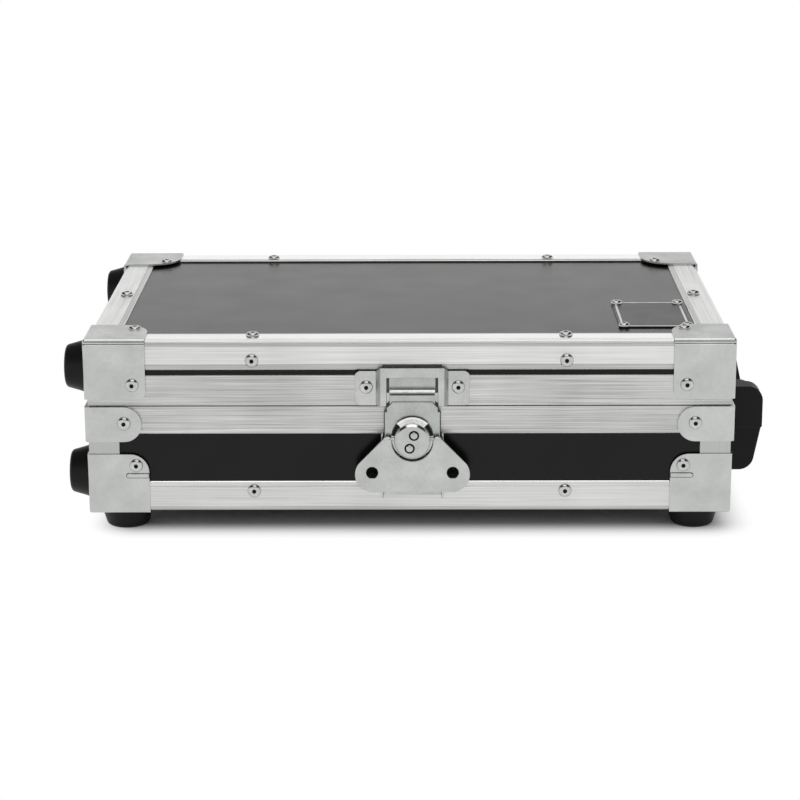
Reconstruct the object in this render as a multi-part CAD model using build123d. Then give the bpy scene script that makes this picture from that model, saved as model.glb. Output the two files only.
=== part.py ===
from build123d import *
from math import atan, cos, degrees, pi, radians, sin
import os

# Small flight case with a hinged lid, a rotary draw latch and a folding carrying handle.
# X runs along the width, Y from the front to the back, Z up. The case stands on z = 0.
# Sizes are in millimetres.

# Case, over the faces of the aluminium profiles
case_width = 380.4
case_depth = 239.2
base_height = 64.8
lid_height = 39.9
rim_gap = 0.3

# Plywood panels
panel_thickness = 6.5

# Aluminium profiles
profile_wall = 1.6
base_angle_rise = 18.4
base_angle_reach = 18.4
lid_angle_drop = 18.1
lid_angle_reach = 18.5
base_angle_round = 2.2
lid_angle_round = 3.2
edge_band = 3.0
edge_step = 0.3
corner_post_leg = 18.2
base_rail_drop = 16.9
base_rail_cap = 2.0
lid_rail_rise = 18.7
lid_rail_cap = 4.6
lid_rail_step = 0.4
rail_inner_wall = 1.2
rail_inner_leg = 8.5
tongue_width = 3.0
tongue_height = 3.0
tongue_inset = 5.0
groove_clearance = 0.7

# Pressed steel corners
bracket_leg = 36.5
base_bracket_wall = 1.0
lid_bracket_wall = 1.6
lid_bracket_top_wall = 0.5
base_bracket_round = 11.0
lid_bracket_round = 5.0
lid_bracket_top_round = 18.5
bracket_edge_chamfer = 0.8
lid_bracket_rivet_inset = 28.6
lid_bracket_rivet_drop = 27.3
base_bracket_rivet_inset = 28.9
base_bracket_rivet_rise = 29.7
top_rivet_inset = 28.0
seam_drop = 2.4
seam_width = 0.6
seam_depth = 0.4
bead_length = 13.5
bead_height = 2.6
bead_proud = 0.5
bead_rise = 24.7
rim_corner_leg = 33.7
rim_corner_height = 21.3
rim_corner_wall = 1.8
rim_corner_rivet_inset = 23.3
rim_corner_rivet_drop = 9.95

# Blind rivets
rivet_head_radius = 4.0
rivet_head_height = 1.9
rivet_head_sides = 8
dome_ring_angles = (0, 55)
rivet_edge_distance = 5.8
front_rivet_spacing = 185.0
lid_side_rivet_inset = 10.7
flush_rivet_radius = 2.6
flush_rivet_height = 0.6

# Rubber feet and their screws
foot_height = 12.5
foot_base_radius = 16.0
foot_tip_radius = 12.4
foot_tip_bevel = 1.2
foot_sides = 16
foot_inset = 20.5
foot_recess_radius = 5.2
foot_recess_depth = 6.5
foot_hole_radius = 2.3
foot_screw_radius = 2.1
foot_screw_head_radius = 4.4
foot_screw_head_height = 2.4
screw_sides = 8

# Foam lining
foam_clearance = 0.3
foam_bed_thickness = 10.0
foam_wall_thickness = 8.0
foam_wall_height = 36.0
lid_foam_thickness = 20.0

# Back hinges
hinge_spacing = 190.0
hinge_length = 60.0
hinge_leaf_height = 16.0
hinge_leaf_thickness = 1.4
hinge_knuckle_radius = 3.2
hinge_knuckles = 3
hinge_knuckle_sides = 12
hinge_knuckle_gap = 0.3
hinge_wall_gap = 0.2
hinge_pin_radius = 1.5
hinge_rivet_margin = 9.0
running_clearance = 0.05

# Rotary draw latch, measured outwards from the profile face and up from the parting line
latch_offset = 1.8
latch_axis_drop = 17.3
latch_plate_wall = 1.2
latch_plate_half_width = 18.4
latch_plate_neck_half_width = 15.0
latch_plate_bottom = 54.5
latch_plate_shoulder = 15.5
latch_plate_top = 1.5
latch_flange_wall = 1.2
latch_flange_reach = 5.2
latch_flange_overrun = 0.8
latch_rivet_half_spacing = 10.0
latch_rivet_margin = 3.6
cam_pivot_radius = 3.0
cam_eccentric_radius = 7.0
cam_eccentric_sides = 16
cam_throw = 3.25
cam_collar_radius = 12.6
cam_collar_sides = 24
cam_collar_wall = 1.2
cam_drum_radius = 10.7
cam_drum_length = 7.9
cam_rivet_radius = 2.4
cam_rivet_height = 0.6
cam_rivet_places = ((1.0, 3.9), (-1.6, -3.9))
layer_gap = 0.3
link_half_width = 16.25
link_rise = 21.1
link_drop = 16.0
link_wall = 1.8
link_lift_gap = 2.7
link_chamfer = 3.2
link_shoulder_drop = 5.8
link_shoulder_step = 1.3
link_slot_side_clearance = 0.4
link_slot_clearance = 0.8
link_slot_round = 3.0
link_out_travel = 1.4
link_neck_half_width = 13.4
link_neck_wall = 1.5
hook_wall = 1.8
hook_reach = 0.6
hook_edge_radius = 1.1
wing_wall = 1.6
wing_pin_drop = 0.1
wing_pin_radius = 0.8
wing_knuckle_radius = 1.4
wing_knuckle_sides = 12
wing_knuckle_inner = 13.0
wing_knuckle_outer = 16.8
wing_clearance = 0.1
wing_shoulder_radius = 1.4
wing_shoulder_half_width = 15.4
wing_lobe_radius = 11.0
wing_lobe_offset = 23.0
wing_lobe_drop = 21.75
wing_hole_radius = 3.5
wing_hole_sides = 16
wing_hole_offset = 23.8
wing_hole_drop = 20.65
wing_cutout_radius = 12.05
wing_cutout_drop = 1.55

# Keeper on the lid
keeper_wall = 1.3
keeper_half_width = 33.8
keeper_bottom = 0.75
keeper_tab_height = 21.0
keeper_tab_round = 3.0
keeper_bridge_half_width = 18.9
keeper_bridge_raise = 3.6
keeper_bridge_slope = 2.5
keeper_bridge_top = 23.9
keeper_window_half_width = 15.1
keeper_window_top = 18.0
keeper_bar_top = 8.9
keeper_rivet_offset = 27.1
keeper_rivet_rise = 12.1

# Folding handle on the right wall, measured outwards from the profile face
handle_length = 138.0
mount_length = 14.0
mount_reach = 25.6
mount_top_drop = 2.3
mount_height = 26.0
mount_top_round = 9.0
mount_edge_round = 1.2
mount_bore_depth = 8.0
mount_screw_offset = 6.4
mount_counterbore_radius = 4.2
mount_counterbore_depth = 5.5
handle_screw_radius = 2.1
handle_screw_hole_radius = 2.2
handle_screw_head_radius = 3.8
handle_screw_head_height = 2.6
handle_pivot_reach = 12.9
handle_pivot_drop = 14.6
handle_pin_radius = 2.5
grip_gap = 0.4
grip_arm_thickness = 9.0
grip_knuckle_radius = 11.0
grip_inner_reach = 3.4
grip_outer_reach = 27.4
grip_low_reach = 23.4
grip_shoulder_drop = 30.0
grip_top_drop = 42.0
grip_bottom_drop = 59.8
grip_shoulder_round = 8.0
grip_outer_round = 9.2
grip_inner_round = 6.0
finger_gap_round = 1.0

# Plate on the lid
name_plate_width = 44.0
name_plate_depth = 65.0
name_plate_thickness = 0.8
name_plate_angle_gap = 1.8
name_plate_setback = 67.4
name_plate_rivet_inset = 3.1
name_plate_rivet_radius = 3.5
name_plate_rivet_height = 1.8

# Levels and faces that follow from the sizes above
base_bottom = foot_height + base_bracket_wall
parting = base_bottom + base_height
lid_bottom = parting + rim_gap
lid_top = lid_bottom + lid_height
lid_bracket_top = lid_top + lid_bracket_top_wall
base_floor = base_bottom + profile_wall + panel_thickness
base_wall_top = parting - base_rail_cap
lid_wall_bottom = lid_bottom + lid_rail_cap
lid_ceiling = lid_top - profile_wall - panel_thickness
half_width = case_width / 2
half_depth = case_depth / 2
inner_half_width = half_width - profile_wall - panel_thickness
inner_half_depth = half_depth - profile_wall - panel_thickness
rail_depth = profile_wall + panel_thickness + rail_inner_wall
keeper_bridge_foot = keeper_bridge_half_width + keeper_bridge_slope
link_back = latch_plate_wall + link_lift_gap
link_front = link_back + link_wall
collar_back = link_front + link_out_travel + layer_gap
drum_back = collar_back + cam_collar_wall
drum_front = drum_back + cam_drum_length
wing_pin_reach = drum_back + wing_clearance + wing_wall / 2
hook_bottom = keeper_bar_top + layer_gap
hinge_axis_reach = hinge_wall_gap + hinge_knuckle_radius
grip_half_length = handle_length / 2 - mount_length - grip_gap

# The origin lies under the middle of everything that stands out from the case
left_reach = half_width + max(lid_bracket_wall, base_bracket_wall) + foot_height
right_reach = half_width + max(grip_outer_reach, mount_reach)
front_reach = half_depth + drum_front + cam_rivet_height
back_reach = half_depth + hinge_axis_reach + hinge_knuckle_radius
shift = Pos((left_reach - right_reach) / 2, (front_reach - back_reach) / 2, 0)

turns = {"front": 0, "right": 90, "back": 180, "left": 270}
corners = [(-1, -1), (1, -1), (-1, 1), (1, 1)]


def half_span(side):
    return half_depth if side in ("front", "back") else half_width


def side_length(side):
    return case_width if side in ("front", "back") else case_depth


def on_side(shape, side):
    """Moves a shape from the plane y = 0, which faces the front, to one wall's profile face."""
    return Rot(0, 0, turns[side]) * Pos(0, -half_span(side), 0) * shape


def facing(near):
    """Plane parallel to the front wall, the given distance outside its profile face."""
    return Plane(origin=(0, -near, 0), x_dir=(1, 0, 0), z_dir=(0, -1, 0))


def slab(sketch, near, far):
    """Sheet of a wall-parallel outline between two distances outside the profile face."""
    return extrude(facing(near) * sketch, amount=far - near)


def block(x, y, z):
    """Box between pairs of limits along each axis."""
    size = [high - low for low, high in (x, y, z)]
    middle = [(high + low) / 2 for low, high in (x, y, z)]
    return Pos(*middle) * Box(*size)


def rod(radius, start, end, x, z):
    """Cylinder that stands square to the front wall."""
    return slab(Pos(x, z) * Circle(radius), start, end)


def cross_rod(radius, x_start, x_end, reach, z):
    """Cylinder along X, the given distance outside the profile face."""
    plane = Plane(origin=(x_start, -reach, z), x_dir=(0, 1, 0), z_dir=(1, 0, 0))
    return extrude(plane * Circle(radius), amount=x_end - x_start)


def cross_bar(sides, radius, x_start, x_end, reach, z):
    """Many-sided bar along X with one flat side turned to the wall."""
    plane = Plane(origin=(x_start, -reach, z), x_dir=(0, 1, 0), z_dir=(1, 0, 0))
    outline = RegularPolygon(radius, sides, major_radius=False, rotation=180 / sides)
    return extrude(plane * outline, amount=x_end - x_start)


def mitred(section, side):
    """Profile with the given cross-section along one side, cut at 45 degrees at both ends."""
    length = side_length(side)
    bar = extrude(Plane.YZ * section, amount=length / 2, both=True)
    run = lid_angle_reach + base_angle_reach
    points = [(-length / 2, 0), (length / 2, 0), (length / 2 - run, run), (run - length / 2, run)]
    wedge = extrude(make_face(Polyline(*points, close=True)), amount=lid_top, both=True)
    return on_side(bar & wedge, side)


# Aluminium profiles, as cross-sections: the first coordinate runs inwards from the face
def angle_section(upright, flat, corner_round):
    outline = [
        (0, 0),
        (flat - edge_band, 0),
        (flat - edge_band, edge_step),
        (flat, edge_step),
        (flat, profile_wall),
        (profile_wall, profile_wall),
        (profile_wall, upright),
        (edge_step, upright),
        (edge_step, upright - edge_band),
        (0, upright - edge_band),
    ]
    face = make_face(Polyline(*outline, close=True))
    return fillet(face.vertices().sort_by(lambda v: v.X + v.Y)[0], corner_round)


def base_rail_section():
    inner = rail_depth - rail_inner_wall
    outline = [
        (0, -base_rail_drop + edge_band),
        (0, 0),
        (tongue_inset - tongue_width / 2, 0),
        (tongue_inset - tongue_width / 2, tongue_height),
        (tongue_inset + tongue_width / 2, tongue_height),
        (tongue_inset + tongue_width / 2, 0),
        (rail_depth, 0),
        (rail_depth, -rail_inner_leg),
        (inner, -rail_inner_leg),
        (inner, -base_rail_cap),
        (profile_wall, -base_rail_cap),
        (profile_wall, -base_rail_drop),
        (edge_step, -base_rail_drop),
        (edge_step, -base_rail_drop + edge_band),
    ]
    return make_face(Polyline(*outline, close=True))


def lid_rail_section():
    inner = rail_depth - rail_inner_wall
    groove_half = tongue_width / 2 + groove_clearance
    groove_depth = tongue_height - rim_gap + groove_clearance
    outline = [
        (lid_rail_step, 0),
        (tongue_inset - groove_half, 0),
        (tongue_inset - groove_half, groove_depth),
        (tongue_inset + groove_half, groove_depth),
        (tongue_inset + groove_half, 0),
        (rail_depth, 0),
        (rail_depth, rail_inner_leg),
        (inner, rail_inner_leg),
        (inner, lid_rail_cap),
        (profile_wall, lid_rail_cap),
        (profile_wall, lid_rail_rise),
        (0, lid_rail_rise),
        (0, lid_rail_cap),
        (lid_rail_step, lid_rail_cap),
    ]
    return make_face(Polyline(*outline, close=True))


def base_angle(side):
    section = angle_section(base_angle_rise, base_angle_reach, base_angle_round)
    return mitred(Pos(0, base_bottom) * section, side)


def lid_angle(side):
    section = angle_section(lid_angle_drop, lid_angle_reach, lid_angle_round)
    return mitred(Pos(0, lid_top) * mirror(section, about=Plane.XZ), side)


def base_rail(side):
    return mitred(Pos(0, parting) * base_rail_section(), side)


def lid_rail(side):
    return mitred(Pos(0, lid_bottom) * lid_rail_section(), side)


def corner_post(x_sign, y_sign):
    low = base_bottom + base_angle_rise
    high = parting - base_rail_drop
    x = (half_width - corner_post_leg, half_width)
    y = (half_depth - corner_post_leg, half_depth)
    hollow_x = (x[0] - profile_wall, x[1] - profile_wall)
    hollow_y = (y[0] - profile_wall, y[1] - profile_wall)
    post = block(x, y, (low, high)) - block(hollow_x, hollow_y, (low, high))
    return reflect(post, x_sign, y_sign)


def reflect(shape, x_sign, y_sign):
    """Carries a shape from the back right corner to any other."""
    if x_sign < 0:
        shape = mirror(shape, about=Plane.YZ)
    if y_sign < 0:
        shape = mirror(shape, about=Plane.XZ)
    return shape


# Plywood panels
def lying_panel(low):
    width = half_width - profile_wall
    depth = half_depth - profile_wall
    return block((-width, width), (-depth, depth), (low, low + panel_thickness))


def wall_panel(side, low, high):
    length = side_length(side) / 2 - profile_wall
    if side in ("left", "right"):
        length = length - panel_thickness
    thickness = (profile_wall, profile_wall + panel_thickness)
    return on_side(block((-length, length), thickness, (low, high)), side)


# Pressed corners, built round a profile corner at the origin with the case on the minus sides
def rounded_square(wall, radius):
    low, high = wall - bracket_leg, wall
    face = make_face(Polyline((low, low), (high, low), (high, high), (low, high), close=True))
    return fillet(face.vertices().sort_by(lambda v: v.X + v.Y)[0], radius)


def corner_bracket(wall, side_round, flat_round):
    flat = extrude(rounded_square(wall, flat_round), amount=wall)
    upright = rounded_square(wall, side_round)
    facing_back = Plane(origin=(0, 0, 0), x_dir=(1, 0, 0), z_dir=(0, -1, 0))
    back = extrude(facing_back * upright, amount=-wall)
    right = extrude(Plane.YZ * upright, amount=wall)
    bracket = flat + back + right
    outer = [
        edge
        for edge in bracket.edges()
        if sum(abs(getattr(edge.center(), axis) - wall) < 1e-6 for axis in "XYZ") == 2
    ]
    return chamfer(outer, bracket_edge_chamfer)


def lid_bracket(x_sign, y_sign):
    wall = lid_bracket_wall
    bracket = corner_bracket(wall, lid_bracket_round, lid_bracket_top_round)
    z = (wall - seam_drop - seam_width, wall - seam_drop)
    band = block((-bracket_leg, wall), (-bracket_leg, wall), z)
    core = (-bracket_leg - wall, wall - seam_depth)
    bracket -= band - block(core, core, z)
    bracket = Pos(0, 0, lid_bracket_top_wall - wall) * bracket
    inside = (-2 * bracket_leg, 0)
    bracket -= block(inside, inside, inside)
    return reflect(Pos(half_width, half_depth, lid_top) * bracket, x_sign, y_sign)


def base_bracket(x_sign, y_sign):
    wall = base_bracket_wall
    bracket = corner_bracket(wall, base_bracket_round, base_bracket_round)
    bead_mid = wall + bead_height / 2 - bead_rise
    end = wall - bracket_leg
    outline = Pos(end + bead_length / 2, bead_mid) * Rectangle(bead_length, bead_height)
    facing_back = Plane(origin=(0, wall, 0), x_dir=(1, 0, 0), z_dir=(0, -1, 0))
    bracket += extrude(facing_back * outline, amount=-bead_proud)
    if x_sign > 0:
        facing_right = Plane(origin=(wall, 0, 0), x_dir=(0, 1, 0), z_dir=(1, 0, 0))
        bracket += extrude(facing_right * outline, amount=bead_proud)
    bracket = Pos(half_width, half_depth, base_bottom) * mirror(bracket, about=Plane.XY)
    return reflect(bracket, x_sign, y_sign)


def rim_corner(x_sign, y_sign):
    wall = rim_corner_wall
    radius = rim_corner_height / 2
    run = rim_corner_leg - radius
    plate = Pos(wall - run / 2, -radius) * Rectangle(run, rim_corner_height)
    plate += Pos(wall - run, -radius) * Circle(radius)
    facing_back = Plane(origin=(0, 0, 0), x_dir=(1, 0, 0), z_dir=(0, -1, 0))
    bracket = extrude(facing_back * plate, amount=-wall)
    bracket += extrude(Plane.YZ * plate, amount=wall)
    upright = [
        edge
        for edge in bracket.edges()
        if abs(edge.center().X - wall) < 1e-6 and abs(edge.center().Y - wall) < 1e-6
    ]
    bracket = chamfer(upright, bracket_edge_chamfer)
    return reflect(Pos(half_width, half_depth, parting) * bracket, x_sign, y_sign)


# Fasteners
def frustum(sides, low_radius, high_radius, start, end):
    """Many-sided cone cut off between two heights."""
    narrowing = (low_radius - high_radius) * cos(pi / sides) / (end - start)
    low = RegularPolygon(low_radius, sides)
    return Pos(0, 0, start) * extrude(low, amount=end - start, taper=degrees(atan(narrowing)))


def stacked(sides, rings):
    """Frustums through rings given as (height, radius)."""
    pairs = zip(rings, rings[1:])
    pieces = [frustum(sides, low[1], high[1], low[0], high[0]) for low, high in pairs]
    return pieces[0].fuse(*pieces[1:])


def dome(radius, height):
    """Rivet head as a faceted half ellipse with a flat top."""
    top = sin(radians(dome_ring_angles[-1]))
    angles = [radians(angle) for angle in dome_ring_angles]
    return stacked(rivet_head_sides, [(height * sin(a) / top, radius * cos(a)) for a in angles])


def prism(sides, radius, start, end):
    """Upright many-sided bar between two heights."""
    return Pos(0, 0, start) * extrude(RegularPolygon(radius, sides), amount=end - start)


rivet_head = dome(rivet_head_radius, rivet_head_height)
plate_rivet_head = dome(name_plate_rivet_radius, name_plate_rivet_height)
cam_rivet_head = dome(cam_rivet_radius, cam_rivet_height)
outwards = Rot(90, 0, 0)


def wall_rivet(side, along, z, reach=0.0, head=rivet_head):
    return on_side(Pos(along, -reach, z) * outwards * head, side)


def top_rivet(x, y, z):
    return Pos(x, y, z) * rivet_head


def under_rivet(x, y, z):
    return Pos(x, y, z) * Rot(180, 0, 0) * rivet_head


def bracket_wall_rivets(wall, inset, z, sides):
    """Rivets through the upright faces of four corner brackets, on the sides that are named."""
    rivets = []
    for side in sides:
        along = side_length(side) / 2 + wall - inset
        rivets += [wall_rivet(side, sign * along, z, wall) for sign in (-1, 1)]
    return rivets


def lid_rivets():
    wall = lid_bracket_wall
    low_edge = lid_top - lid_angle_drop + rivet_edge_distance
    inset = lid_angle_reach - rivet_edge_distance
    half_spacing = front_rivet_spacing / 2
    level = lid_bracket_top - lid_bracket_rivet_drop
    rivets = bracket_wall_rivets(wall, lid_bracket_rivet_inset, level, ("front", "back", "right"))
    for x_sign, y_sign in corners:
        x = x_sign * (half_width + wall - top_rivet_inset)
        y = y_sign * (half_depth + wall - top_rivet_inset)
        rivets.append(top_rivet(x, y, lid_bracket_top))
        rivets.append(top_rivet(x_sign * half_spacing, y_sign * (half_depth - inset), lid_top))
    for side in ("front", "back"):
        rivets += [wall_rivet(side, sign * half_spacing, low_edge) for sign in (-1, 1)]
    for side in ("left", "right"):
        rivets.append(wall_rivet(side, 0, low_edge))
    rivets += [top_rivet(sign * (half_width - lid_side_rivet_inset), 0, lid_top) for sign in (-1, 1)]
    for sign in (-1, 1):
        along = latch_offset + sign * keeper_rivet_offset
        rivets.append(wall_rivet("front", along, parting + keeper_rivet_rise, keeper_wall))
    rivets += hinge_rivets(1)
    return rivets


def name_plate_rivets():
    x, y = name_plate_middle()
    top = lid_top - profile_wall + name_plate_thickness
    dx = name_plate_width / 2 - name_plate_rivet_inset
    dy = name_plate_depth / 2 - name_plate_rivet_inset
    return [Pos(x + sx * dx, y + sy * dy, top) * plate_rivet_head for sx, sy in corners]


def base_rivets():
    wall = base_bracket_wall
    high_edge = base_bottom + base_angle_rise - rivet_edge_distance
    inset = base_angle_reach - rivet_edge_distance
    half_spacing = front_rivet_spacing / 2
    level = base_bottom - wall + base_bracket_rivet_rise
    rivets = bracket_wall_rivets(wall, base_bracket_rivet_inset, level, ("front", "back", "right"))
    for side in turns:
        along = side_length(side) / 2 + rim_corner_wall - rim_corner_rivet_inset
        z = parting - rim_corner_rivet_drop
        rivets += [wall_rivet(side, sign * along, z, rim_corner_wall) for sign in (-1, 1)]
    for side in ("front", "back"):
        rivets += [wall_rivet(side, sign * half_spacing, high_edge) for sign in (-1, 1)]
    for side in ("left", "right"):
        rivets.append(wall_rivet(side, 0, high_edge))
    for x_sign, y_sign in corners:
        rivets.append(under_rivet(x_sign * half_spacing, y_sign * (half_depth - inset), base_bottom))
    rivets += hinge_rivets(-1)
    return rivets


def hinge_rivets(way):
    half = hinge_length / 2 - hinge_rivet_margin
    middle = parting + rim_gap / 2
    rise = (hinge_leaf_height + hinge_knuckle_radius) / 2
    rivets = []
    for sign in (-1, 1):
        for offset in (-half, 0, half):
            along = sign * hinge_spacing / 2 + offset
            rivets.append(wall_rivet("back", along, middle + way * rise, hinge_leaf_thickness))
    return rivets


# Rubber feet, standing on z = 0 and pointing up
def foot():
    slope = (foot_base_radius - foot_tip_radius) / foot_height
    shoulder = foot_height - foot_tip_bevel
    rings = [
        (0, foot_base_radius),
        (shoulder, foot_base_radius - slope * shoulder),
        (foot_height, foot_tip_radius - foot_tip_bevel),
    ]
    cone = stacked(foot_sides, rings)
    seat = foot_height - foot_recess_depth
    cone -= prism(screw_sides, foot_recess_radius, seat, foot_height)
    return cone - prism(screw_sides, foot_hole_radius, 0, seat)


def foot_screw():
    seat = foot_height - foot_recess_depth
    shank = prism(screw_sides, foot_screw_radius, 0, seat)
    return shank + prism(screw_sides, foot_screw_head_radius, seat, seat + foot_screw_head_height)


def under_case(shape):
    x = half_width + base_bracket_wall - foot_inset
    y = half_depth + base_bracket_wall - foot_inset
    turned = Rot(180, 0, 0) * shape
    return [Pos(sx * x, sy * y, foot_height) * turned for sx, sy in corners]


def beside_case(shape, wall, z):
    y = half_depth + wall - foot_inset
    turned = Rot(0, -90, 0) * shape
    return [Pos(-half_width - wall, sign * y, z) * turned for sign in (-1, 1)]


base_side_foot_z = foot_height + foot_inset
lid_side_foot_z = lid_bracket_top - foot_inset


# Foam lining
def foam_slab(x, y, z):
    return block((-x, x), (-y, y), z)


def foam_bed():
    low = base_floor + foam_clearance
    x = inner_half_width - foam_clearance
    y = inner_half_depth - foam_clearance
    return foam_slab(x, y, (low, low + foam_bed_thickness))


def foam_walls():
    low = base_floor + 2 * foam_clearance + foam_bed_thickness
    z = (low, low + foam_wall_height)
    x = inner_half_width - foam_clearance
    y = inner_half_depth - foam_clearance
    short = y - foam_wall_thickness - foam_clearance
    walls = []
    for sign in (-1, 1):
        near, far = sorted((sign * y, sign * (y - foam_wall_thickness)))
        walls.append(block((-x, x), (near, far), z))
        near, far = sorted((sign * x, sign * (x - foam_wall_thickness)))
        walls.append(block((near, far), (-short, short), z))
    return walls


def lid_foam():
    high = lid_ceiling - foam_clearance
    x = inner_half_width - foam_clearance
    y = inner_half_depth - foam_clearance
    return foam_slab(x, y, (high - lid_foam_thickness, high))


# Back hinges: the base leaf holds the odd knuckles and the lid leaf the even ones
def hinge_leaf(way):
    """One leaf about an axis at z = 0; way is 1 for the lid's leaf and -1 for the base's."""
    pitch = hinge_length / hinge_knuckles
    clear = hinge_knuckle_radius + hinge_knuckle_gap
    z = sorted((way * clear, way * hinge_leaf_height))
    leaf = block((-hinge_length / 2, hinge_length / 2), (-hinge_leaf_thickness, 0), z)
    for index in range(hinge_knuckles):
        if (index % 2 == 1) != (way == 1):
            continue
        left = -hinge_length / 2 + index * pitch + hinge_knuckle_gap / 2
        right = left + pitch - hinge_knuckle_gap
        leaf += block((left, right), (-hinge_leaf_thickness, 0), sorted((0, way * clear)))
        leaf += cross_bar(hinge_knuckle_sides, hinge_knuckle_radius, left, right, hinge_axis_reach, 0)
    bore = hinge_pin_radius + running_clearance
    leaf -= cross_rod(bore, -hinge_length, hinge_length, hinge_axis_reach, 0)
    return leaf


def at_hinges(shape):
    level = parting + rim_gap / 2
    return [on_side(Pos(sign * hinge_spacing / 2, 0, level) * shape, "back") for sign in (-1, 1)]


def hinge_pin():
    return cross_rod(hinge_pin_radius, -hinge_length / 2, hinge_length / 2, hinge_axis_reach, 0)


# Rotary draw latch, with z = 0 at the drum's axis
def latch_point(shape):
    return on_side(Pos(latch_offset, 0, parting - latch_axis_drop) * shape, "front")


def latch_base_plate():
    low = latch_axis_drop - latch_plate_bottom
    shoulder = latch_axis_drop - latch_plate_shoulder
    high = latch_axis_drop - latch_plate_top
    wide = latch_plate_half_width
    plate = block((-wide, wide), (-latch_plate_wall, 0), (low, shoulder))
    neck = latch_plate_neck_half_width
    plate += block((-neck, neck), (-latch_plate_wall, 0), (low, high))
    for sign in (-1, 1):
        x = sorted((sign * wide, sign * (wide - latch_flange_wall)))
        plate += block(x, (-latch_flange_reach, 0), (low - latch_flange_overrun, shoulder))
    plate -= rod(cam_pivot_radius + running_clearance, -1, latch_plate_wall + 1, 0, 0)
    return plate


def latch_plate_rivets():
    levels = (
        latch_axis_drop - latch_plate_top - latch_rivet_margin,
        latch_axis_drop - latch_plate_bottom + latch_rivet_margin,
    )
    top = latch_plate_wall + flush_rivet_height
    rivet = outwards * prism(screw_sides, flush_rivet_radius, latch_plate_wall, top)
    return [
        Pos(sign * latch_rivet_half_spacing, 0, level) * rivet for level in levels for sign in (-1, 1)
    ]


def latch_cam():
    bottom = latch_plate_wall + layer_gap
    cam = rod(cam_pivot_radius, layer_gap, bottom, 0, 0)
    eccentric = prism(cam_eccentric_sides, cam_eccentric_radius, bottom, collar_back)
    cam += Pos(0, 0, -cam_throw) * outwards * eccentric
    cam += outwards * prism(cam_collar_sides, cam_collar_radius, collar_back, drum_back)
    cam += rod(cam_drum_radius, drum_back, drum_front, 0, 0)
    half = cam_collar_radius
    return cam - cross_rod(wing_pin_radius, -half, half, wing_pin_reach, -wing_pin_drop)


def latch_cam_rivets():
    return [Pos(x, -drum_front, z) * outwards * cam_rivet_head for x, z in cam_rivet_places]


def latch_wing_pin():
    half = wing_knuckle_outer - layer_gap
    return cross_rod(wing_pin_radius, -half, half, wing_pin_reach, -wing_pin_drop)


def latch_link():
    half = link_half_width
    top, low = link_rise, -link_drop
    neck_half = half - link_shoulder_step
    right = [
        (half, low),
        (half, top - link_shoulder_drop),
        (neck_half, top - link_shoulder_drop),
        (neck_half, top - link_chamfer),
        (neck_half - link_chamfer, top),
    ]
    outline = right + [(-x, z) for x, z in reversed(right)]
    slot_half = cam_eccentric_radius + cam_throw + link_slot_side_clearance
    slot_height = 2 * (cam_eccentric_radius + link_slot_clearance)
    slot = Pos(0, -cam_throw) * RectangleRounded(2 * slot_half, slot_height, link_slot_round)
    link = slab(make_face(Polyline(*outline, close=True)) - slot, link_back, link_front)
    neck_front = link_back
    neck_back = neck_front - link_neck_wall
    hook_low = latch_axis_drop + hook_bottom
    hook_high = hook_low + hook_wall
    width = (-link_neck_half_width, link_neck_half_width)
    neck = block(width, (-neck_front, -neck_back), (top - link_chamfer, hook_high))
    neck += block(width, (-neck_front, -hook_reach), (hook_low, hook_high))
    bend = neck.edges().filter_by(Axis.X).sort_by(lambda e: e.center().Y - e.center().Z)[0]
    return link + fillet(bend, hook_edge_radius)


def latch_wing():
    lobes = [Pos(sign * wing_lobe_offset, -wing_lobe_drop) * Circle(wing_lobe_radius) for sign in (-1, 1)]
    shoulders = [
        Pos(sign * wing_shoulder_half_width, -wing_pin_drop) * Circle(wing_shoulder_radius)
        for sign in (-1, 1)
    ]
    outline = make_hull([edge for circle in lobes + shoulders for edge in circle.edges()])
    outline -= Pos(0, -wing_cutout_drop) * Circle(wing_cutout_radius)
    above = Rectangle(2 * wing_knuckle_inner, 2 * wing_cutout_radius)
    outline -= Pos(0, wing_cutout_radius - wing_pin_drop) * above
    for sign in (-1, 1):
        hole = RegularPolygon(wing_hole_radius, wing_hole_sides)
        outline -= Pos(sign * wing_hole_offset, -wing_hole_drop) * hole
    wing = slab(outline, wing_pin_reach - wing_wall / 2, wing_pin_reach + wing_wall / 2)
    for start, end in ((-wing_knuckle_outer, -wing_knuckle_inner), (wing_knuckle_inner, wing_knuckle_outer)):
        sides = wing_knuckle_sides
        wing += cross_bar(sides, wing_knuckle_radius, start, end, wing_pin_reach, -wing_pin_drop)
    bore = wing_pin_radius + running_clearance
    wing -= cross_rod(bore, -wing_lobe_offset, wing_lobe_offset, wing_pin_reach, -wing_pin_drop)
    return wing


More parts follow.
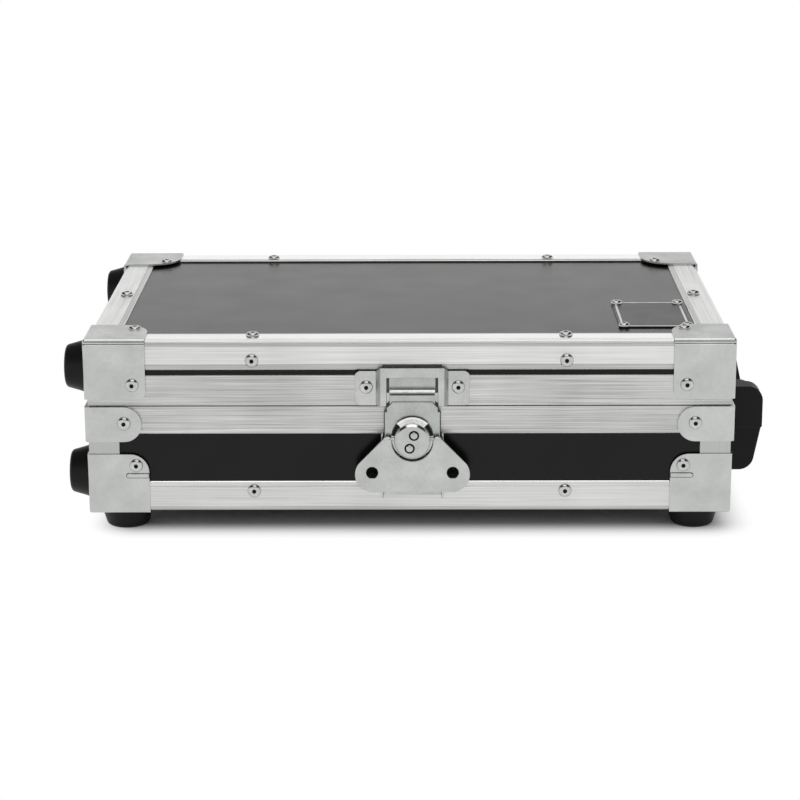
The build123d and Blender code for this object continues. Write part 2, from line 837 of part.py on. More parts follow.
# Keeper, with z = 0 at the parting line
def latch_keeper():
    wall, raise_ = keeper_wall, keeper_bridge_raise
    top, foot_x = keeper_bridge_half_width, keeper_bridge_foot
    right = [(keeper_half_width, 0), (keeper_half_width, wall), (foot_x, wall), (top, raise_)]
    inner = [(top - wall, raise_ - wall), (foot_x - wall, 0)]
    points = right + [(-x, y) for x, y in reversed(right)]
    points += [(-x, y) for x, y in reversed(inner)] + inner
    section = make_face(Polyline(*[(x, -y) for x, y in points], close=True))
    keeper = Pos(0, 0, keeper_bottom) * extrude(section, amount=keeper_bridge_top - keeper_bottom)
    tab_top = keeper_bottom + keeper_tab_height
    for sign in (-1, 1):
        spare = [(top, keeper_bridge_top), (foot_x, tab_top), (keeper_half_width, tab_top)]
        spare.append((keeper_half_width, keeper_bridge_top))
        keeper -= slab(make_face(Polyline(*[(sign * x, z) for x, z in spare], close=True)), 0, raise_)
    corners_of_tabs = [
        edge
        for edge in keeper.edges().filter_by(Axis.Y)
        if abs(abs(edge.center().X) - keeper_half_width) < 1e-6
    ]
    keeper = fillet(corners_of_tabs, keeper_tab_round)
    window = (-keeper_window_half_width, keeper_window_half_width)
    keeper -= block(window, (-raise_ - 1, -wall), (0, keeper_window_top))
    inner_half = top - wall
    keeper += block((-foot_x + wall, foot_x - wall), (-wall, 0), (keeper_bottom, keeper_bar_top))
    keeper += block((-inner_half, inner_half), (-raise_, 0), (keeper_bridge_top - wall, keeper_bridge_top))
    return on_side(Pos(latch_offset, 0, parting) * keeper, "front")


# Folding handle: two end mounts, two pins and a grip that hangs between them
def wall_profile(circles):
    """Outline round circles given as (reach, height, radius), drawn square to the wall."""
    rings = [Pos(-reach, height) * Circle(radius) for reach, height, radius in circles]
    return make_hull([edge for ring in rings for edge in ring.edges()])


def along_wall(sketch, start, end):
    """Solid of a wall-square outline between two places along the wall."""
    return extrude(Plane(origin=(start, 0, 0), x_dir=(0, 1, 0), z_dir=(1, 0, 0)) * sketch, amount=end - start)


def handle_mount(sign):
    top = -mount_top_drop
    low = top - mount_height
    rail_end = -base_rail_drop
    outline = [
        (0, top),
        (-mount_reach, top),
        (-mount_reach, low),
        (profile_wall, low),
        (profile_wall, rail_end),
        (0, rail_end),
    ]
    face = make_face(Polyline(*outline, close=True))
    by_place = face.vertices().sort_by(lambda v: v.X * 100 - v.Y)
    face = fillet(by_place[0], mount_top_round)
    low_corner = face.vertices().sort_by(lambda v: v.X + v.Y)[0]
    face = fillet(low_corner, mount_edge_round)
    start = sign * handle_length / 2
    inner = start - sign * mount_length
    low_x, high_x = sorted((start, inner))
    mount = along_wall(face, low_x, high_x)
    bore_start, bore_end = sorted((inner, inner + sign * mount_bore_depth))
    mount -= cross_rod(handle_pin_radius, bore_start, bore_end, handle_pivot_reach, -handle_pivot_drop)
    x = (low_x + high_x) / 2
    seat = mount_reach - mount_counterbore_depth
    hole = prism(screw_sides, handle_screw_hole_radius, -profile_wall, seat)
    hole += prism(screw_sides, mount_counterbore_radius, seat, mount_reach)
    for z in mount_screw_levels():
        mount -= Pos(x, 0, z) * outwards * hole
    return mount


def mount_screw_levels():
    middle = -mount_top_drop - mount_height / 2
    return (middle + mount_screw_offset, middle - mount_screw_offset)


def handle_screws():
    seat = mount_reach - mount_counterbore_depth
    screws = []
    for sign in (-1, 1):
        x = sign * (handle_length - mount_length) / 2
        for z in mount_screw_levels():
            foot_reach = 0 if z + handle_screw_radius > -base_rail_drop else -profile_wall
            screw = prism(screw_sides, handle_screw_radius, foot_reach, seat)
            screw += prism(screw_sides, handle_screw_head_radius, seat, seat + handle_screw_head_height)
            screws.append(Pos(x, 0, z) * outwards * screw)
    return screws


def handle_pins():
    pins = []
    for sign in (-1, 1):
        inner = sign * (grip_half_length - grip_arm_thickness)
        outer = sign * (grip_half_length + grip_gap + mount_bore_depth)
        start, end = sorted((inner, outer))
        pins.append(cross_rod(handle_pin_radius, start, end, handle_pivot_reach, -handle_pivot_drop))
    return pins


def handle_grip():
    circles = [
        (grip_low_reach - grip_outer_round, -grip_bottom_drop + grip_outer_round, grip_outer_round),
        (grip_outer_reach - grip_shoulder_round, -grip_shoulder_drop, grip_shoulder_round),
        (grip_inner_reach + grip_inner_round, -grip_bottom_drop + grip_inner_round, grip_inner_round),
        (handle_pivot_reach, -handle_pivot_drop, grip_knuckle_radius),
    ]
    grip = along_wall(wall_profile(circles), -grip_half_length, grip_half_length)
    inner = grip_half_length - grip_arm_thickness
    finger_gap = Pos(0, inner - grip_top_drop) * RectangleRounded(2 * inner, 2 * inner, finger_gap_round)
    grip -= slab(finger_gap, 0, grip_outer_reach)
    bore = handle_pin_radius + running_clearance
    grip -= cross_rod(bore, -handle_length, handle_length, handle_pivot_reach, -handle_pivot_drop)
    return grip


def on_handle(shape):
    return on_side(Pos(0, 0, parting) * shape, "right")


# Bare plate on the lid's top panel
def name_plate_middle():
    x = half_width - lid_angle_reach - name_plate_angle_gap - name_plate_width / 2
    return x, name_plate_setback - half_depth


def name_plate():
    x, y = name_plate_middle()
    low = lid_top - profile_wall
    return Pos(x, y, low + name_plate_thickness / 2) * Box(
        name_plate_width, name_plate_depth, name_plate_thickness
    )


parts = {
    "base_bottom_panel": [lying_panel(base_bottom + profile_wall)],
    "base_foam_bed": [foam_bed()],
    "base_foam_walls": foam_walls(),
    "base_corner_posts": [corner_post(*corner) for corner in corners],
    "base_rim_corners": [rim_corner(*corner) for corner in corners],
    "base_rivets": base_rivets(),
    "bottom_feet": under_case(foot()),
    "bottom_foot_screws": under_case(foot_screw()),
    "base_side_feet": beside_case(foot(), base_bracket_wall, base_side_foot_z),
    "base_side_foot_screws": beside_case(foot_screw(), base_bracket_wall, base_side_foot_z),
    "hinge_base_leaves": at_hinges(hinge_leaf(-1)),
    "hinge_pins": at_hinges(hinge_pin()),
    "latch_base_plate": [latch_point(latch_base_plate())],
    "latch_plate_rivets": [latch_point(rivet) for rivet in latch_plate_rivets()],
    "latch_cam": [latch_point(latch_cam())],
    "latch_cam_rivets": [latch_point(rivet) for rivet in latch_cam_rivets()],
    "latch_wing_pin": [latch_point(latch_wing_pin())],
    "latch_link": [latch_point(latch_link())],
    "latch_wing": [latch_point(latch_wing())],
    "handle_mount_front": [on_handle(handle_mount(-1))],
    "handle_mount_rear": [on_handle(handle_mount(1))],
    "handle_screws": [on_handle(screw) for screw in handle_screws()],
    "handle_pivot_pins": [on_handle(pin) for pin in handle_pins()],
    "handle_grip": [on_handle(handle_grip())],
    "lid_top_panel": [lying_panel(lid_ceiling)],
    "lid_foam": [lid_foam()],
    "lid_rivets": lid_rivets(),
    "lid_side_feet": beside_case(foot(), lid_bracket_wall, lid_side_foot_z),
    "lid_side_foot_screws": beside_case(foot_screw(), lid_bracket_wall, lid_side_foot_z),
    "hinge_lid_leaves": at_hinges(hinge_leaf(1)),
    "latch_keeper": [latch_keeper()],
    "name_plate": [name_plate()],
    "name_plate_rivets": name_plate_rivets(),
}
for side in turns:
    parts[f"base_{side}_panel"] = [wall_panel(side, base_floor, base_wall_top)]
    parts[f"base_angle_{side}"] = [base_angle(side)]
    parts[f"base_rail_{side}"] = [base_rail(side)]
    parts[f"lid_angle_{side}"] = [lid_angle(side)]
    parts[f"lid_rail_{side}"] = [lid_rail(side)]
parts["lid_wall_panels"] = [wall_panel(side, lid_wall_bottom, lid_ceiling) for side in turns]
parts["base_corners_front"] = [base_bracket(*corner) for corner in corners if corner[1] < 0]
parts["base_corners_rear"] = [base_bracket(*corner) for corner in corners if corner[1] > 0]
parts["lid_corners_front"] = [lid_bracket(*corner) for corner in corners if corner[1] < 0]
parts["lid_corners_rear"] = [lid_bracket(*corner) for corner in corners if corner[1] > 0]

os.makedirs("parts", exist_ok=True)
for name, solids in parts.items():
    placed = [shift * solid for solid in solids]
    shape = placed[0] if len(placed) == 1 else Compound(children=placed)
    export_step(shape, f"parts/{name}.step")
print(len(parts), "nodes")
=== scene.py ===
from math import atan2, cos, pi, radians, sin, tan

import bmesh
import bpy
from mathutils import Matrix, Vector, noise


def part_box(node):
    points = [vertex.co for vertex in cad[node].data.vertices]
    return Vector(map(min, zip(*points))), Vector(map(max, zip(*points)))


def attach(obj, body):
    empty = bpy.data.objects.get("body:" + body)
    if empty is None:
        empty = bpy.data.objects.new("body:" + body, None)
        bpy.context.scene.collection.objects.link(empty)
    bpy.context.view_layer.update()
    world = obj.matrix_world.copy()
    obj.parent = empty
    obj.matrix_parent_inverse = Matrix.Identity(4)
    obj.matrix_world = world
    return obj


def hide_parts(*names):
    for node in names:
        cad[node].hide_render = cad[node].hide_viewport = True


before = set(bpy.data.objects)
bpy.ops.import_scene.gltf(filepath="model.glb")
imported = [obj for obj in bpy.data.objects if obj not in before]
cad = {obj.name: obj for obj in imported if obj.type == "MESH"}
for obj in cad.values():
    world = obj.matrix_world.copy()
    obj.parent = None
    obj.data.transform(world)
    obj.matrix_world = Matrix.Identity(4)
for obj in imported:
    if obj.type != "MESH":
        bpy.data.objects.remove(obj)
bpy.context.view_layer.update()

mm = 0.001
print("frame loaded with", len(cad), "CAD nodes")

# Camera, fitted to the corners of the case in an 800 x 800 picture
cameraLook = {
    "place": (0.386, -1459.5, 458.8),  # mm
    "down": 15.644,  # degrees
    "yaw": 0.532,
    "roll": -0.237,
    "lens": 106.65,  # mm
    "sensor": 36,
    "clipEnd": 60,  # m
}


def makeCamera(look):
    data = bpy.data.cameras.new("camera")
    data.lens = look["lens"]
    data.sensor_width = look["sensor"]
    data.clip_end = look["clipEnd"]
    camera = bpy.data.objects.new("camera", data)
    turn = Matrix.Rotation(radians(look["yaw"]), 4, "Z")
    turn @= Matrix.Rotation(radians(90 - look["down"]), 4, "X")
    turn @= Matrix.Rotation(radians(look["roll"]), 4, "Z")
    camera.matrix_world = Matrix.Translation(Vector(look["place"]) * mm) @ turn
    bpy.context.scene.collection.objects.link(camera)
    bpy.context.scene.camera = camera


makeCamera(cameraLook)
bpy.context.scene.view_settings.view_transform = "Standard"
print("camera set")


# Materials
def linear(hexColour):
    values = [int(hexColour[i:i + 2], 16) / 255 for i in (1, 3, 5)]
    return tuple(v / 12.92 if v <= 0.04045 else ((v + 0.055) / 1.055) ** 2.4 for v in values) + (1.0,)


def addNode(tree, kind, settings=None, links=None):
    node = tree.nodes.new(f"ShaderNode{kind}")
    for name, value in (settings or {}).items():
        if isinstance(name, str) and hasattr(node, name):
            setattr(node, name, value)
        else:
            node.inputs[name].default_value = value
    for socket, source in (links or {}).items():
        tree.links.new(source, node.inputs[socket])
    return node


def emptyTree(owner):
    owner.use_nodes = True
    owner.node_tree.nodes.clear()
    return owner.node_tree


# Marks of every finish: how detailed the fine and the broad ones are, and their values for dark and pale
noiseLook = {"detail": {"fine": 4, "broad": 2}, "span": (0.32, 0.68)}


def makeFinish(look):
    # Fine marks and broad clouds share the colour; the fine marks also give the relief
    material = bpy.data.materials.new(look["name"])
    tree = emptyTree(material)
    place = addNode(tree, "TexCoord")
    marks = []
    for kind, detail in noiseLook["detail"].items():
        sizes = look[kind] if isinstance(look[kind], tuple) else (look[kind],) * 3
        scale = tuple(1 / (length * mm) for length in sizes)
        spread = addNode(tree, "Mapping", {"Scale": scale}, {"Vector": place.outputs["Object"]})
        mark = addNode(tree, "TexNoise", {"Scale": 1, "Detail": detail}, {"Vector": spread.outputs[0]})
        marks.append(mark.outputs[0])
    both = addNode(tree, "Mix", {"data_type": "FLOAT", 0: look["clouds"]}, {2: marks[0], 3: marks[1]})
    darkAt, paleAt = noiseLook["span"]
    share = addNode(tree, "MapRange", {1: darkAt, 2: paleAt}, {0: both.outputs[0]})
    tones = {"data_type": "RGBA", 6: linear(look["dark"]), 7: linear(look["pale"])}
    colour = addNode(tree, "Mix", tones, {0: share.outputs[0]})
    dull, bright = look["roughness"]
    rough = addNode(tree, "MapRange", {3: dull, 4: bright}, {0: share.outputs[0]})
    bump = addNode(tree, "Bump", {"Strength": 1.0, "Distance": look["relief"] * mm}, {"Height": marks[0]})
    shader = addNode(
        tree, "BsdfPrincipled",
        {
            "Metallic": look.get("metallic", 0.0), "Specular IOR Level": look.get("specular", 0.5),
            "Anisotropic": look.get("stretch", 0.0),
        },
        {"Base Color": colour.outputs[2], "Roughness": rough.outputs[0], "Normal": bump.outputs[0]},
    )
    if "stretch" in look:
        # Highlights spread across the die lines
        across = addNode(tree, "CombineXYZ", dict(enumerate(look["across"])))
        tree.links.new(across.outputs[0], shader.inputs["Tangent"])
    addNode(tree, "OutputMaterial", {}, {"Surface": shader.outputs[0]})
    return material


# Extruded aluminium, mill finish: pale grey with fine die lines that run along the bar
dieLine = 0.55  # mm across; real ones are finer than the picture can show
dieRun = 70  # mm
dieWays = {
    "x": {"fine": (dieRun, dieLine, dieLine), "across": (0, 1, 1)},
    "y": {"fine": (dieLine, dieRun, dieLine), "across": (1, 0, 1)},
    "z": {"fine": (dieLine, dieLine, dieRun), "across": (1, 1, 0)},
}
millLook = {
    "metallic": 1.0, "roughness": (0.42, 0.30), "broad": 45, "clouds": 0.25, "relief": 0.02, "stretch": 0.75,
}
# Each die leaves its own tone: the angles come out palest and the posts greyest. The grey band tone is
# painted shade, as grey as the posts, laid on the bands along the bars' free edges and on their rounds
millTones = {
    "lid angle": ("#D1D1CF", "#ECECEB"), "base angle": ("#C8C8C6", "#E3E3E1"), "rail": ("#A8A8A6", "#DEDEDC"),
    "edge band": ("#B1B1AE", "#C7C7C4"), "post": ("#B8B8B6", "#BEBEBC"),
}


def makeMill(profile, way):
    dark, pale = millTones[profile]
    name = f"mill aluminium, {profile}, drawn in {way}"
    return makeFinish(millLook | dieWays[way] | {"name": name, "dark": dark, "pale": pale})


# Aluminium painted nearly white: painted reflection of the overhead lamp along the top of the lid's front and
# back bars, and a painted highlight along the base's upper edges
paintedSheenAluminium = makeFinish({
    "name": "mill aluminium, painted sheen", "dark": "#EEEEED", "pale": "#FAFAF9", "metallic": 1.0,
    "roughness": (0.24, 0.16), "fine": dieWays["x"]["fine"], "broad": 45, "clouds": 0.25, "relief": 0.008,
})

# Pressed steel, bright zinc plated: satin grey, cloudy, with a faint green cast
zincPlate = makeFinish({
    "name": "zinc plated steel, pressed", "dark": "#BABCBA", "pale": "#C9CBC9", "metallic": 1.0,
    "roughness": (0.36, 0.26), "fine": 2.2, "broad": 16, "clouds": 0.7, "relief": 0.012,
})

# Zinc plated steel of the latch, punched and tumbled: smoother, with small clouds
tumbledLook = {
    "metallic": 1.0, "roughness": (0.30, 0.20), "fine": 1.4, "broad": 11, "clouds": 0.65, "relief": 0.008,
}
latchZinc = makeFinish(
    tumbledLook | {"name": "zinc plated steel, tumbled", "dark": "#B5B7B4", "pale": "#C7C9C6"}
)

# The same plate a shade greener and greyer: the latch's sliding link, and painted shade on the sheet seen
# through the keeper's window
greyZincAndShade = makeFinish(
    tumbledLook | {"name": "zinc plated steel, greyer", "dark": "#A9ACA9", "pale": "#BABDBA"}
)

# The same plate, a step greyer: painted shade on the keeper's folds that turn sideways
foldShadeZinc = makeFinish(
    tumbledLook
    | {"name": "zinc plated steel, painted fold shade", "dark": "#8C8E8C", "pale": "#A5A7A5", "roughness": (0.34, 0.26)}
)

# Bright zinc, almost as bright as the sheen on the aluminium: painted highlight on the drum's crown and the
# top of its side, on the link's lip and on the lid corners' top bends
paintedHighlightZinc = makeFinish({
    "name": "bright zinc, painted highlight", "dark": "#E4E4E2", "pale": "#F6F6F5", "metallic": 1.0,
    "roughness": (0.24, 0.14), "fine": 0.9, "broad": 5, "clouds": 0.5, "relief": 0.006,
})

# Dark steel as painted shade: shadow lines round and under the latch's parts, round the base corners' beads
# and inside the lid's top edge, and shade in gaps; in the lid corners' seams, the seam's dark joint with
# painted shade in it
paintedShadeSteel = makeFinish({
    "name": "dark steel, painted shade", "dark": "#3B3B3A", "pale": "#555655", "metallic": 0.5,
    "roughness": (0.55, 0.45), "fine": 0.7, "broad": 6, "clouds": 0.5, "relief": 0.006,
})

# Aluminium blind rivet, set: bright and nearly mirror-like dome
rivetMetal = makeFinish({
    "name": "aluminium rivet, bright", "dark": "#B4B4B2", "pale": "#D0D0CE", "metallic": 1.0,
    "roughness": (0.20, 0.12), "fine": 0.8, "broad": 4, "clouds": 0.5, "relief": 0.004,
})

# Broken mandrel inside a blind rivet: oiled steel, almost black; also painted shade on the walls of its hole,
# in the drum's collar recesses and on the floor round the drum's rivets
mandrelSteelAndShade = makeFinish({
    "name": "mandrel steel and painted shade", "dark": "#0B0B0B", "pale": "#1C1B1A", "metallic": 0.6,
    "roughness": (0.6, 0.45), "fine": 0.4, "broad": 2, "clouds": 0.4, "relief": 0.02,
})

# Steel screw, zinc plated, rolled thread: mid grey
screwSteel = makeFinish({
    "name": "zinc plated screw steel", "dark": "#9DA09E", "pale": "#C4C7C5", "metallic": 1.0,
    "roughness": (0.34, 0.24), "fine": 0.6, "broad": 3, "clouds": 0.5, "relief": 0.006,
})

# Birch ply faced with black phenolic laminate: even, finely pebbled, a grey sheen at a low angle
laminate = makeFinish({
    "name": "black phenolic laminate", "dark": "#0B0909", "pale": "#131010", "specular": 0.22,
    "roughness": (0.25, 0.19), "fine": 0.7, "broad": 30, "clouds": 0.55, "relief": 0.012,
})

# Moulded rubber: black, soft highlights, slightly dusty
rubber = makeFinish({
    "name": "black rubber, moulded", "dark": "#0A0909", "pale": "#121010", "specular": 0.2,
    "roughness": (0.5, 0.38), "fine": 0.8, "broad": 9, "clouds": 0.5, "relief": 0.02,
})

# Glass-filled nylon, spark-eroded mould: black with a fine even grain
handlePlastic = makeFinish({
    "name": "black nylon, grained", "dark": "#080707", "pale": "#100E0E", "specular": 0.2,
    "roughness": (0.5, 0.42), "fine": 0.5, "broad": 14, "clouds": 0.4, "relief": 0.03,
})

# Open-cell polyurethane foam: matt charcoal with small pores
foam = makeFinish({
    "name": "charcoal polyurethane foam", "dark": "#151516", "pale": "#38383A", "specular": 0.15,
    "roughness": (1.0, 0.9), "fine": 1.1, "broad": 8, "clouds": 0.2, "relief": 0.5,
})

# Plate of anodised aluminium: satin black, with a bright bare line inside its edge
plateBlack = makeFinish({
    "name": "anodised aluminium, black", "dark": "#131212", "pale": "#1D1B1B", "specular": 0.3,
    "roughness": (0.34, 0.28), "fine": 0.5, "broad": 12, "clouds": 0.5, "relief": 0.004,
})
plateBare = makeFinish({
    "name": "aluminium plate, bare line", "dark": "#C9CAC8", "pale": "#E2E3E1", "metallic": 1.0,
    "roughness": (0.34, 0.26), "fine": 0.6, "broad": 6, "clouds": 0.5, "relief": 0.004,
})
print("materials made:", len(bpy.data.materials))


# Stage: white floor that keeps the shadow, a long soft lamp overhead, a weak one in front, and a white room
# that turns dark above, so that the mirror-like tops and bends get their grey parts
plainWhite = (1.0, 1.0, 1.0, 1.0)
stageLook = {
    "floorSize": 24,  # m
    "floorLevel": -0.2,  # mm, just under the feet
    "floorColour": "#C8C8C8",  # of its shaded part; the rest shows as plain white
    "shadowHalf": (0.17, 0.095, 0),  # m, the part of the floor that keeps all of its shadow
    "fade": (0, 0.033),  # m beyond it, where the floor turns into plain white
    "roomLight": 0.6,  # strength on matt surfaces
    "roomHigh": "#1C1C1C",  # what shiny metal sees high overhead
    "roomTurn": (0.3, 0.52),  # height of the view direction where that starts and is full
    "lamps": {  # m and W
        "overhead": {"place": (-0.1, 0.7, 1.9), "aim": (-0.1, 0.7, 0), "size": (1.6, 4.0), "power": 22},
        "fill": {"place": (0.1, -1.7, 2.2), "aim": (0, 0, 0), "size": (1.6, 1.6), "power": 9},
    },
}


def seenStraight(tree):
    # 1 for camera, mirror and see-through rays, 0 for light that only falls on matt surfaces
    ray = addNode(tree, "LightPath")
    seen = ray.outputs["Is Camera Ray"]
    for kind in ("Is Glossy Ray", "Is Transmission Ray"):
        seen = addNode(tree, "Math", {"operation": "MAXIMUM"}, {0: seen, 1: ray.outputs[kind]}).outputs[0]
    return ray, seen


def makeRoom(look):
    world = bpy.data.worlds.new("room")
    bpy.context.scene.world = world
    tree = emptyTree(world)
    ray, straight = seenStraight(tree)
    direction = addNode(tree, "TexCoord")
    parts = addNode(tree, "SeparateXYZ", {}, {0: direction.outputs["Generated"]})
    start, full = look["roomTurn"]
    height = addNode(tree, "MapRange", {1: start, 2: full}, {0: parts.outputs[2]})
    mirrored = {0: height.outputs[0], 1: ray.outputs["Is Glossy Ray"]}
    share = addNode(tree, "Math", {"operation": "MULTIPLY"}, mirrored)
    tones = {"data_type": "RGBA", 6: plainWhite, 7: linear(look["roomHigh"])}
    colour = addNode(tree, "Mix", tones, {0: share.outputs[0]})
    seen = addNode(tree, "Background", {"Strength": 1.0}, {"Color": colour.outputs[2]})
    light = addNode(tree, "Background", {"Color": plainWhite, "Strength": look["roomLight"]})
    mixed = addNode(tree, "MixShader", {}, {0: straight, 1: light.outputs[0], 2: seen.outputs[0]})
    addNode(tree, "OutputWorld", {}, {"Surface": mixed.outputs[0]})


def makeFloor(look):
    material = bpy.data.materials.new("white paper floor")
    tree = emptyTree(material)
    straight = seenStraight(tree)[1]
    away = addNode(tree, "TexCoord").outputs["Object"]
    for operation, limit in (("ABSOLUTE", None), ("SUBTRACT", look["shadowHalf"]), ("MAXIMUM", (0, 0, 0))):
        settings = {"operation": operation} | ({1: limit} if limit else {})
        away = addNode(tree, "VectorMath", settings, {0: away}).outputs[0]
    away = addNode(tree, "VectorMath", {"operation": "LENGTH"}, {0: away})
    start, end = look["fade"]
    smooth = {"interpolation_type": "SMOOTHSTEP", 1: start, 2: end}
    fade = addNode(tree, "MapRange", smooth, {0: away.outputs["Value"]})
    share = addNode(tree, "Math", {"operation": "MULTIPLY"}, {0: fade.outputs[0], 1: straight})
    matt = {"Base Color": linear(look["floorColour"]), "Roughness": 0.9, "Specular IOR Level": 0.1}
    paper = addNode(tree, "BsdfPrincipled", matt)
    white = addNode(tree, "Emission", {"Color": plainWhite, "Strength": 1.0})
    mixed = addNode(tree, "MixShader", {}, {0: share.outputs[0], 1: paper.outputs[0], 2: white.outputs[0]})
    addNode(tree, "OutputMaterial", {}, {"Surface": mixed.outputs[0]})
    half = look["floorSize"] / 2
    corners = [(-half, -half, 0), (half, -half, 0), (half, half, 0), (-half, half, 0)]
    mesh = bpy.data.meshes.new("floor")
    mesh.from_pydata(corners, [], [(0, 1, 2, 3)])
    mesh.materials.append(material)
    floor = bpy.data.objects.new("floor", mesh)
    floor.location.z = look["floorLevel"] * mm
    bpy.context.scene.collection.objects.link(floor)


def makeLamp(name, look):
    data = bpy.data.lights.new(name, "AREA")
    data.shape = "RECTANGLE"
    data.size, data.size_y = look["size"]
    data.energy = look["power"]
    lamp = bpy.data.objects.new(name, data)
    lamp.location = look["place"]
    lamp.rotation_euler = (Vector(look["aim"]) - lamp.location).to_track_quat("-Z", "Y").to_euler()
    bpy.context.scene.collection.objects.link(lamp)


makeRoom(stageLook)
makeFloor(stageLook)
for name, lampLook in stageLook["lamps"].items():
    makeLamp(name, lampLook)
print("stage set")


# Where the case is, in mm as all that follows, from the frame itself
def boxOf(node):
    low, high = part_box(node)
    return low / mm, high / mm


frontLow, frontHigh = boxOf("lid_angle_front")
caseTop = frontHigh.z
caseBottom = boxOf("base_angle_front")[0].z
lidRim = boxOf("lid_rail_front")[0].z
baseRim = boxOf("base_rim_corners")[1].z
middle = Vector(((frontLow.x + frontHigh.x) / 2, (frontLow.y + boxOf("lid_angle_back")[1].y) / 2, 0))
halfWidth = (frontHigh.x - frontLow.x) / 2
halfDepth = middle.y - frontLow.y

sideTurn = {"front": 0, "right": 90, "back": 180, "left": 270}  # degrees

# Turns for flat and turned shapes: stood up to face the front or an end, and with the axis along the width
upright = Matrix(((1, 0, 0, 0), (0, 0, 1, 0), (0, 1, 0, 0), (0, 0, 0, 1)))
uprightEnd = Matrix(((0, 0, 1, 0), (1, 0, 0, 0), (0, 1, 0, 0), (0, 0, 0, 1)))
lying = Matrix(((0, 0, 1, 0), (0, 1, 0, 0), (-1, 0, 0, 0), (0, 0, 0, 1)))


def halfLength(side):
    return halfWidth if side in ("front", "back") else halfDepth


def onWall(side):
    # Carries (along, outwards, up) to the frame
    reach = halfDepth if side in ("front", "back") else halfWidth
    turn = Matrix.Rotation(radians(sideTurn[side]), 4, "Z")
    face = Matrix.Translation((0, -reach, 0)) @ Matrix.Diagonal((1, -1, 1, 1))
    return Matrix.Translation(middle) @ turn @ face


def atCorner(xSign, ySign, z, zSign):
    # Carries a corner piece whose case lies on its minus sides
    place = Matrix.Translation((middle.x + xSign * halfWidth, middle.y + ySign * halfDepth, z))
    return place @ Matrix.Diagonal((xSign, ySign, zSign, 1))


# Mesh building
edgeLook = {"sharp": 40, "bevelled": 38, "steps": 3}  # degrees from which an edge is sharp or gets its bevel


def makePiece(name, bm, body, materials, nodes, bevel=None):
    bmesh.ops.recalc_face_normals(bm, faces=bm.faces)
    mesh = bpy.data.meshes.new(name)
    bm.to_mesh(mesh)
    bm.free()
    mesh.transform(Matrix.Scale(mm, 4))
    for material in materials:
        mesh.materials.append(material)
    mesh.shade_smooth()
    mesh.set_sharp_from_angle(angle=radians(edgeLook["sharp"]))
    piece = bpy.data.objects.new(name, mesh)
    bpy.context.scene.collection.objects.link(piece)
    if bevel:
        edge = piece.modifiers.new("edge", "BEVEL")
        edge.width = bevel * mm
        edge.segments = edgeLook["steps"]
        edge.limit_method = "ANGLE"
        edge.angle_limit = radians(edgeLook["bevelled"])
    even = piece.modifiers.new("even", "WEIGHTED_NORMAL")
    even.keep_sharp = True
    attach(piece, body)
    if nodes:
        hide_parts(*nodes)
    return piece


def arc(x, y, radius, start, end, steps):
    angles = [start + (end - start) * k / steps for k in range(steps + 1)]
    return [Vector((x + radius * cos(a), y + radius * sin(a))) for a in angles]


def circle(x, y, radius, sides):
    return arc(x, y, radius, 0, 2 * pi, sides)[:-1]


def rectangle(half, low, high, lean=0):
    # Its upper corners may stand further out than its lower ones
    return [Vector(p) for p in ((-half, low), (half, low), (half + lean, high), (-half - lean, high))]


def rounded(corners, step=12):
    # Outline from (x, y, radius) corners, with a point every few degrees of their rounds
    points = []
    for index, (x, y, radius) in enumerate(corners):
        here = Vector((x, y))
        if not radius:
            points.append(here)
            continue
        back = (Vector(corners[index - 1][:2]) - here).normalized()
        ahead = (Vector(corners[(index + 1) % len(corners)][:2]) - here).normalized()
        half = back.angle(ahead) / 2
        centre = here + (back + ahead).normalized() * radius / sin(half)
        start = here + back * radius / tan(half) - centre
        end = here + ahead * radius / tan(half) - centre
        sweep = atan2(start.x * end.y - start.y * end.x, start.dot(end))
        first = atan2(start.y, start.x)
        points += arc(*centre, radius, first, first + sweep, max(2, round(abs(sweep) / radians(step))))
    return points


def onwards(ring):
    # The same closed ring, one point further on
    return ring[1:] + ring[:1]


def turnedWay(loop, anticlockwise):
    area = sum(a.x * b.y - b.x * a.y for a, b in zip(loop, onwards(loop)))
    return loop if (area > 0) == anticlockwise else loop[::-1]


def inset(loop, amount):
    # Moves an outline to its left, into the material
    moved = []
    for last, here, following in zip(loop[-1:] + loop[:-1], loop, onwards(loop)):
        before = (here - last).normalized()
        after = (following - here).normalized()
        left = Vector((-before.y, before.x))
        sideways = left + Vector((-after.y, after.x))
        if sideways.length < 1e-6:  # the outline turns right back
            sideways = left
        sideways.normalize()
        moved.append(here + sideways * amount / max(0.4, sideways.dot(left)))  # held, so that no spike grows
    return moved


def addPlate(bm, outline, holes, low, high, edge, place, steps=2, material=0):
    # Sheet between two heights with rounded edges, from its lower flat face round to the upper one
    vertsBefore, facesBefore = set(bm.verts), set(bm.faces)
    angles = [pi / 2 * k / steps for k in range(steps + 1)]
    rings = [(edge * (1 - sin(angle)), low + edge * (1 - cos(angle))) for angle in angles]
    rings += [(amount, high + low - height) for amount, height in reversed(rings)]
    caps = ([], [])
    for loop, isHole in [(outline, False)] + [(hole, True) for hole in holes]:
        loop = turnedWay(loop, not isHole)
        levels = [[bm.verts.new((*p, height)) for p in inset(loop, amount)] for amount, height in rings]
        for lower, upper in zip(levels, levels[1:]):
            for quad in zip(lower, onwards(lower), onwards(upper), upper):
                bm.faces.new(quad)
        for edges, ring in zip(caps, (levels[0], levels[-1])):
            edges.extend(bm.edges.get(pair) for pair in zip(ring, onwards(ring)))
    for edges in caps:
        bmesh.ops.triangle_fill(bm, use_beauty=True, use_dissolve=False, edges=edges, normal=(0, 0, 1))
    for face in set(bm.faces) - facesBefore:
        face.material_index = material
    bmesh.ops.transform(bm, matrix=place, verts=list(set(bm.verts) - vertsBefore))


def cylinder(radius, low, high):
    return [(0, low), (radius, low), (radius, high), (0, high)]


def roller(radius, low, high, soft):
    # A pin with its ends bevelled
    small = radius - soft
    return [(0, low), (small, low), (radius, low + soft), (radius, high - soft), (small, high), (0, high)]


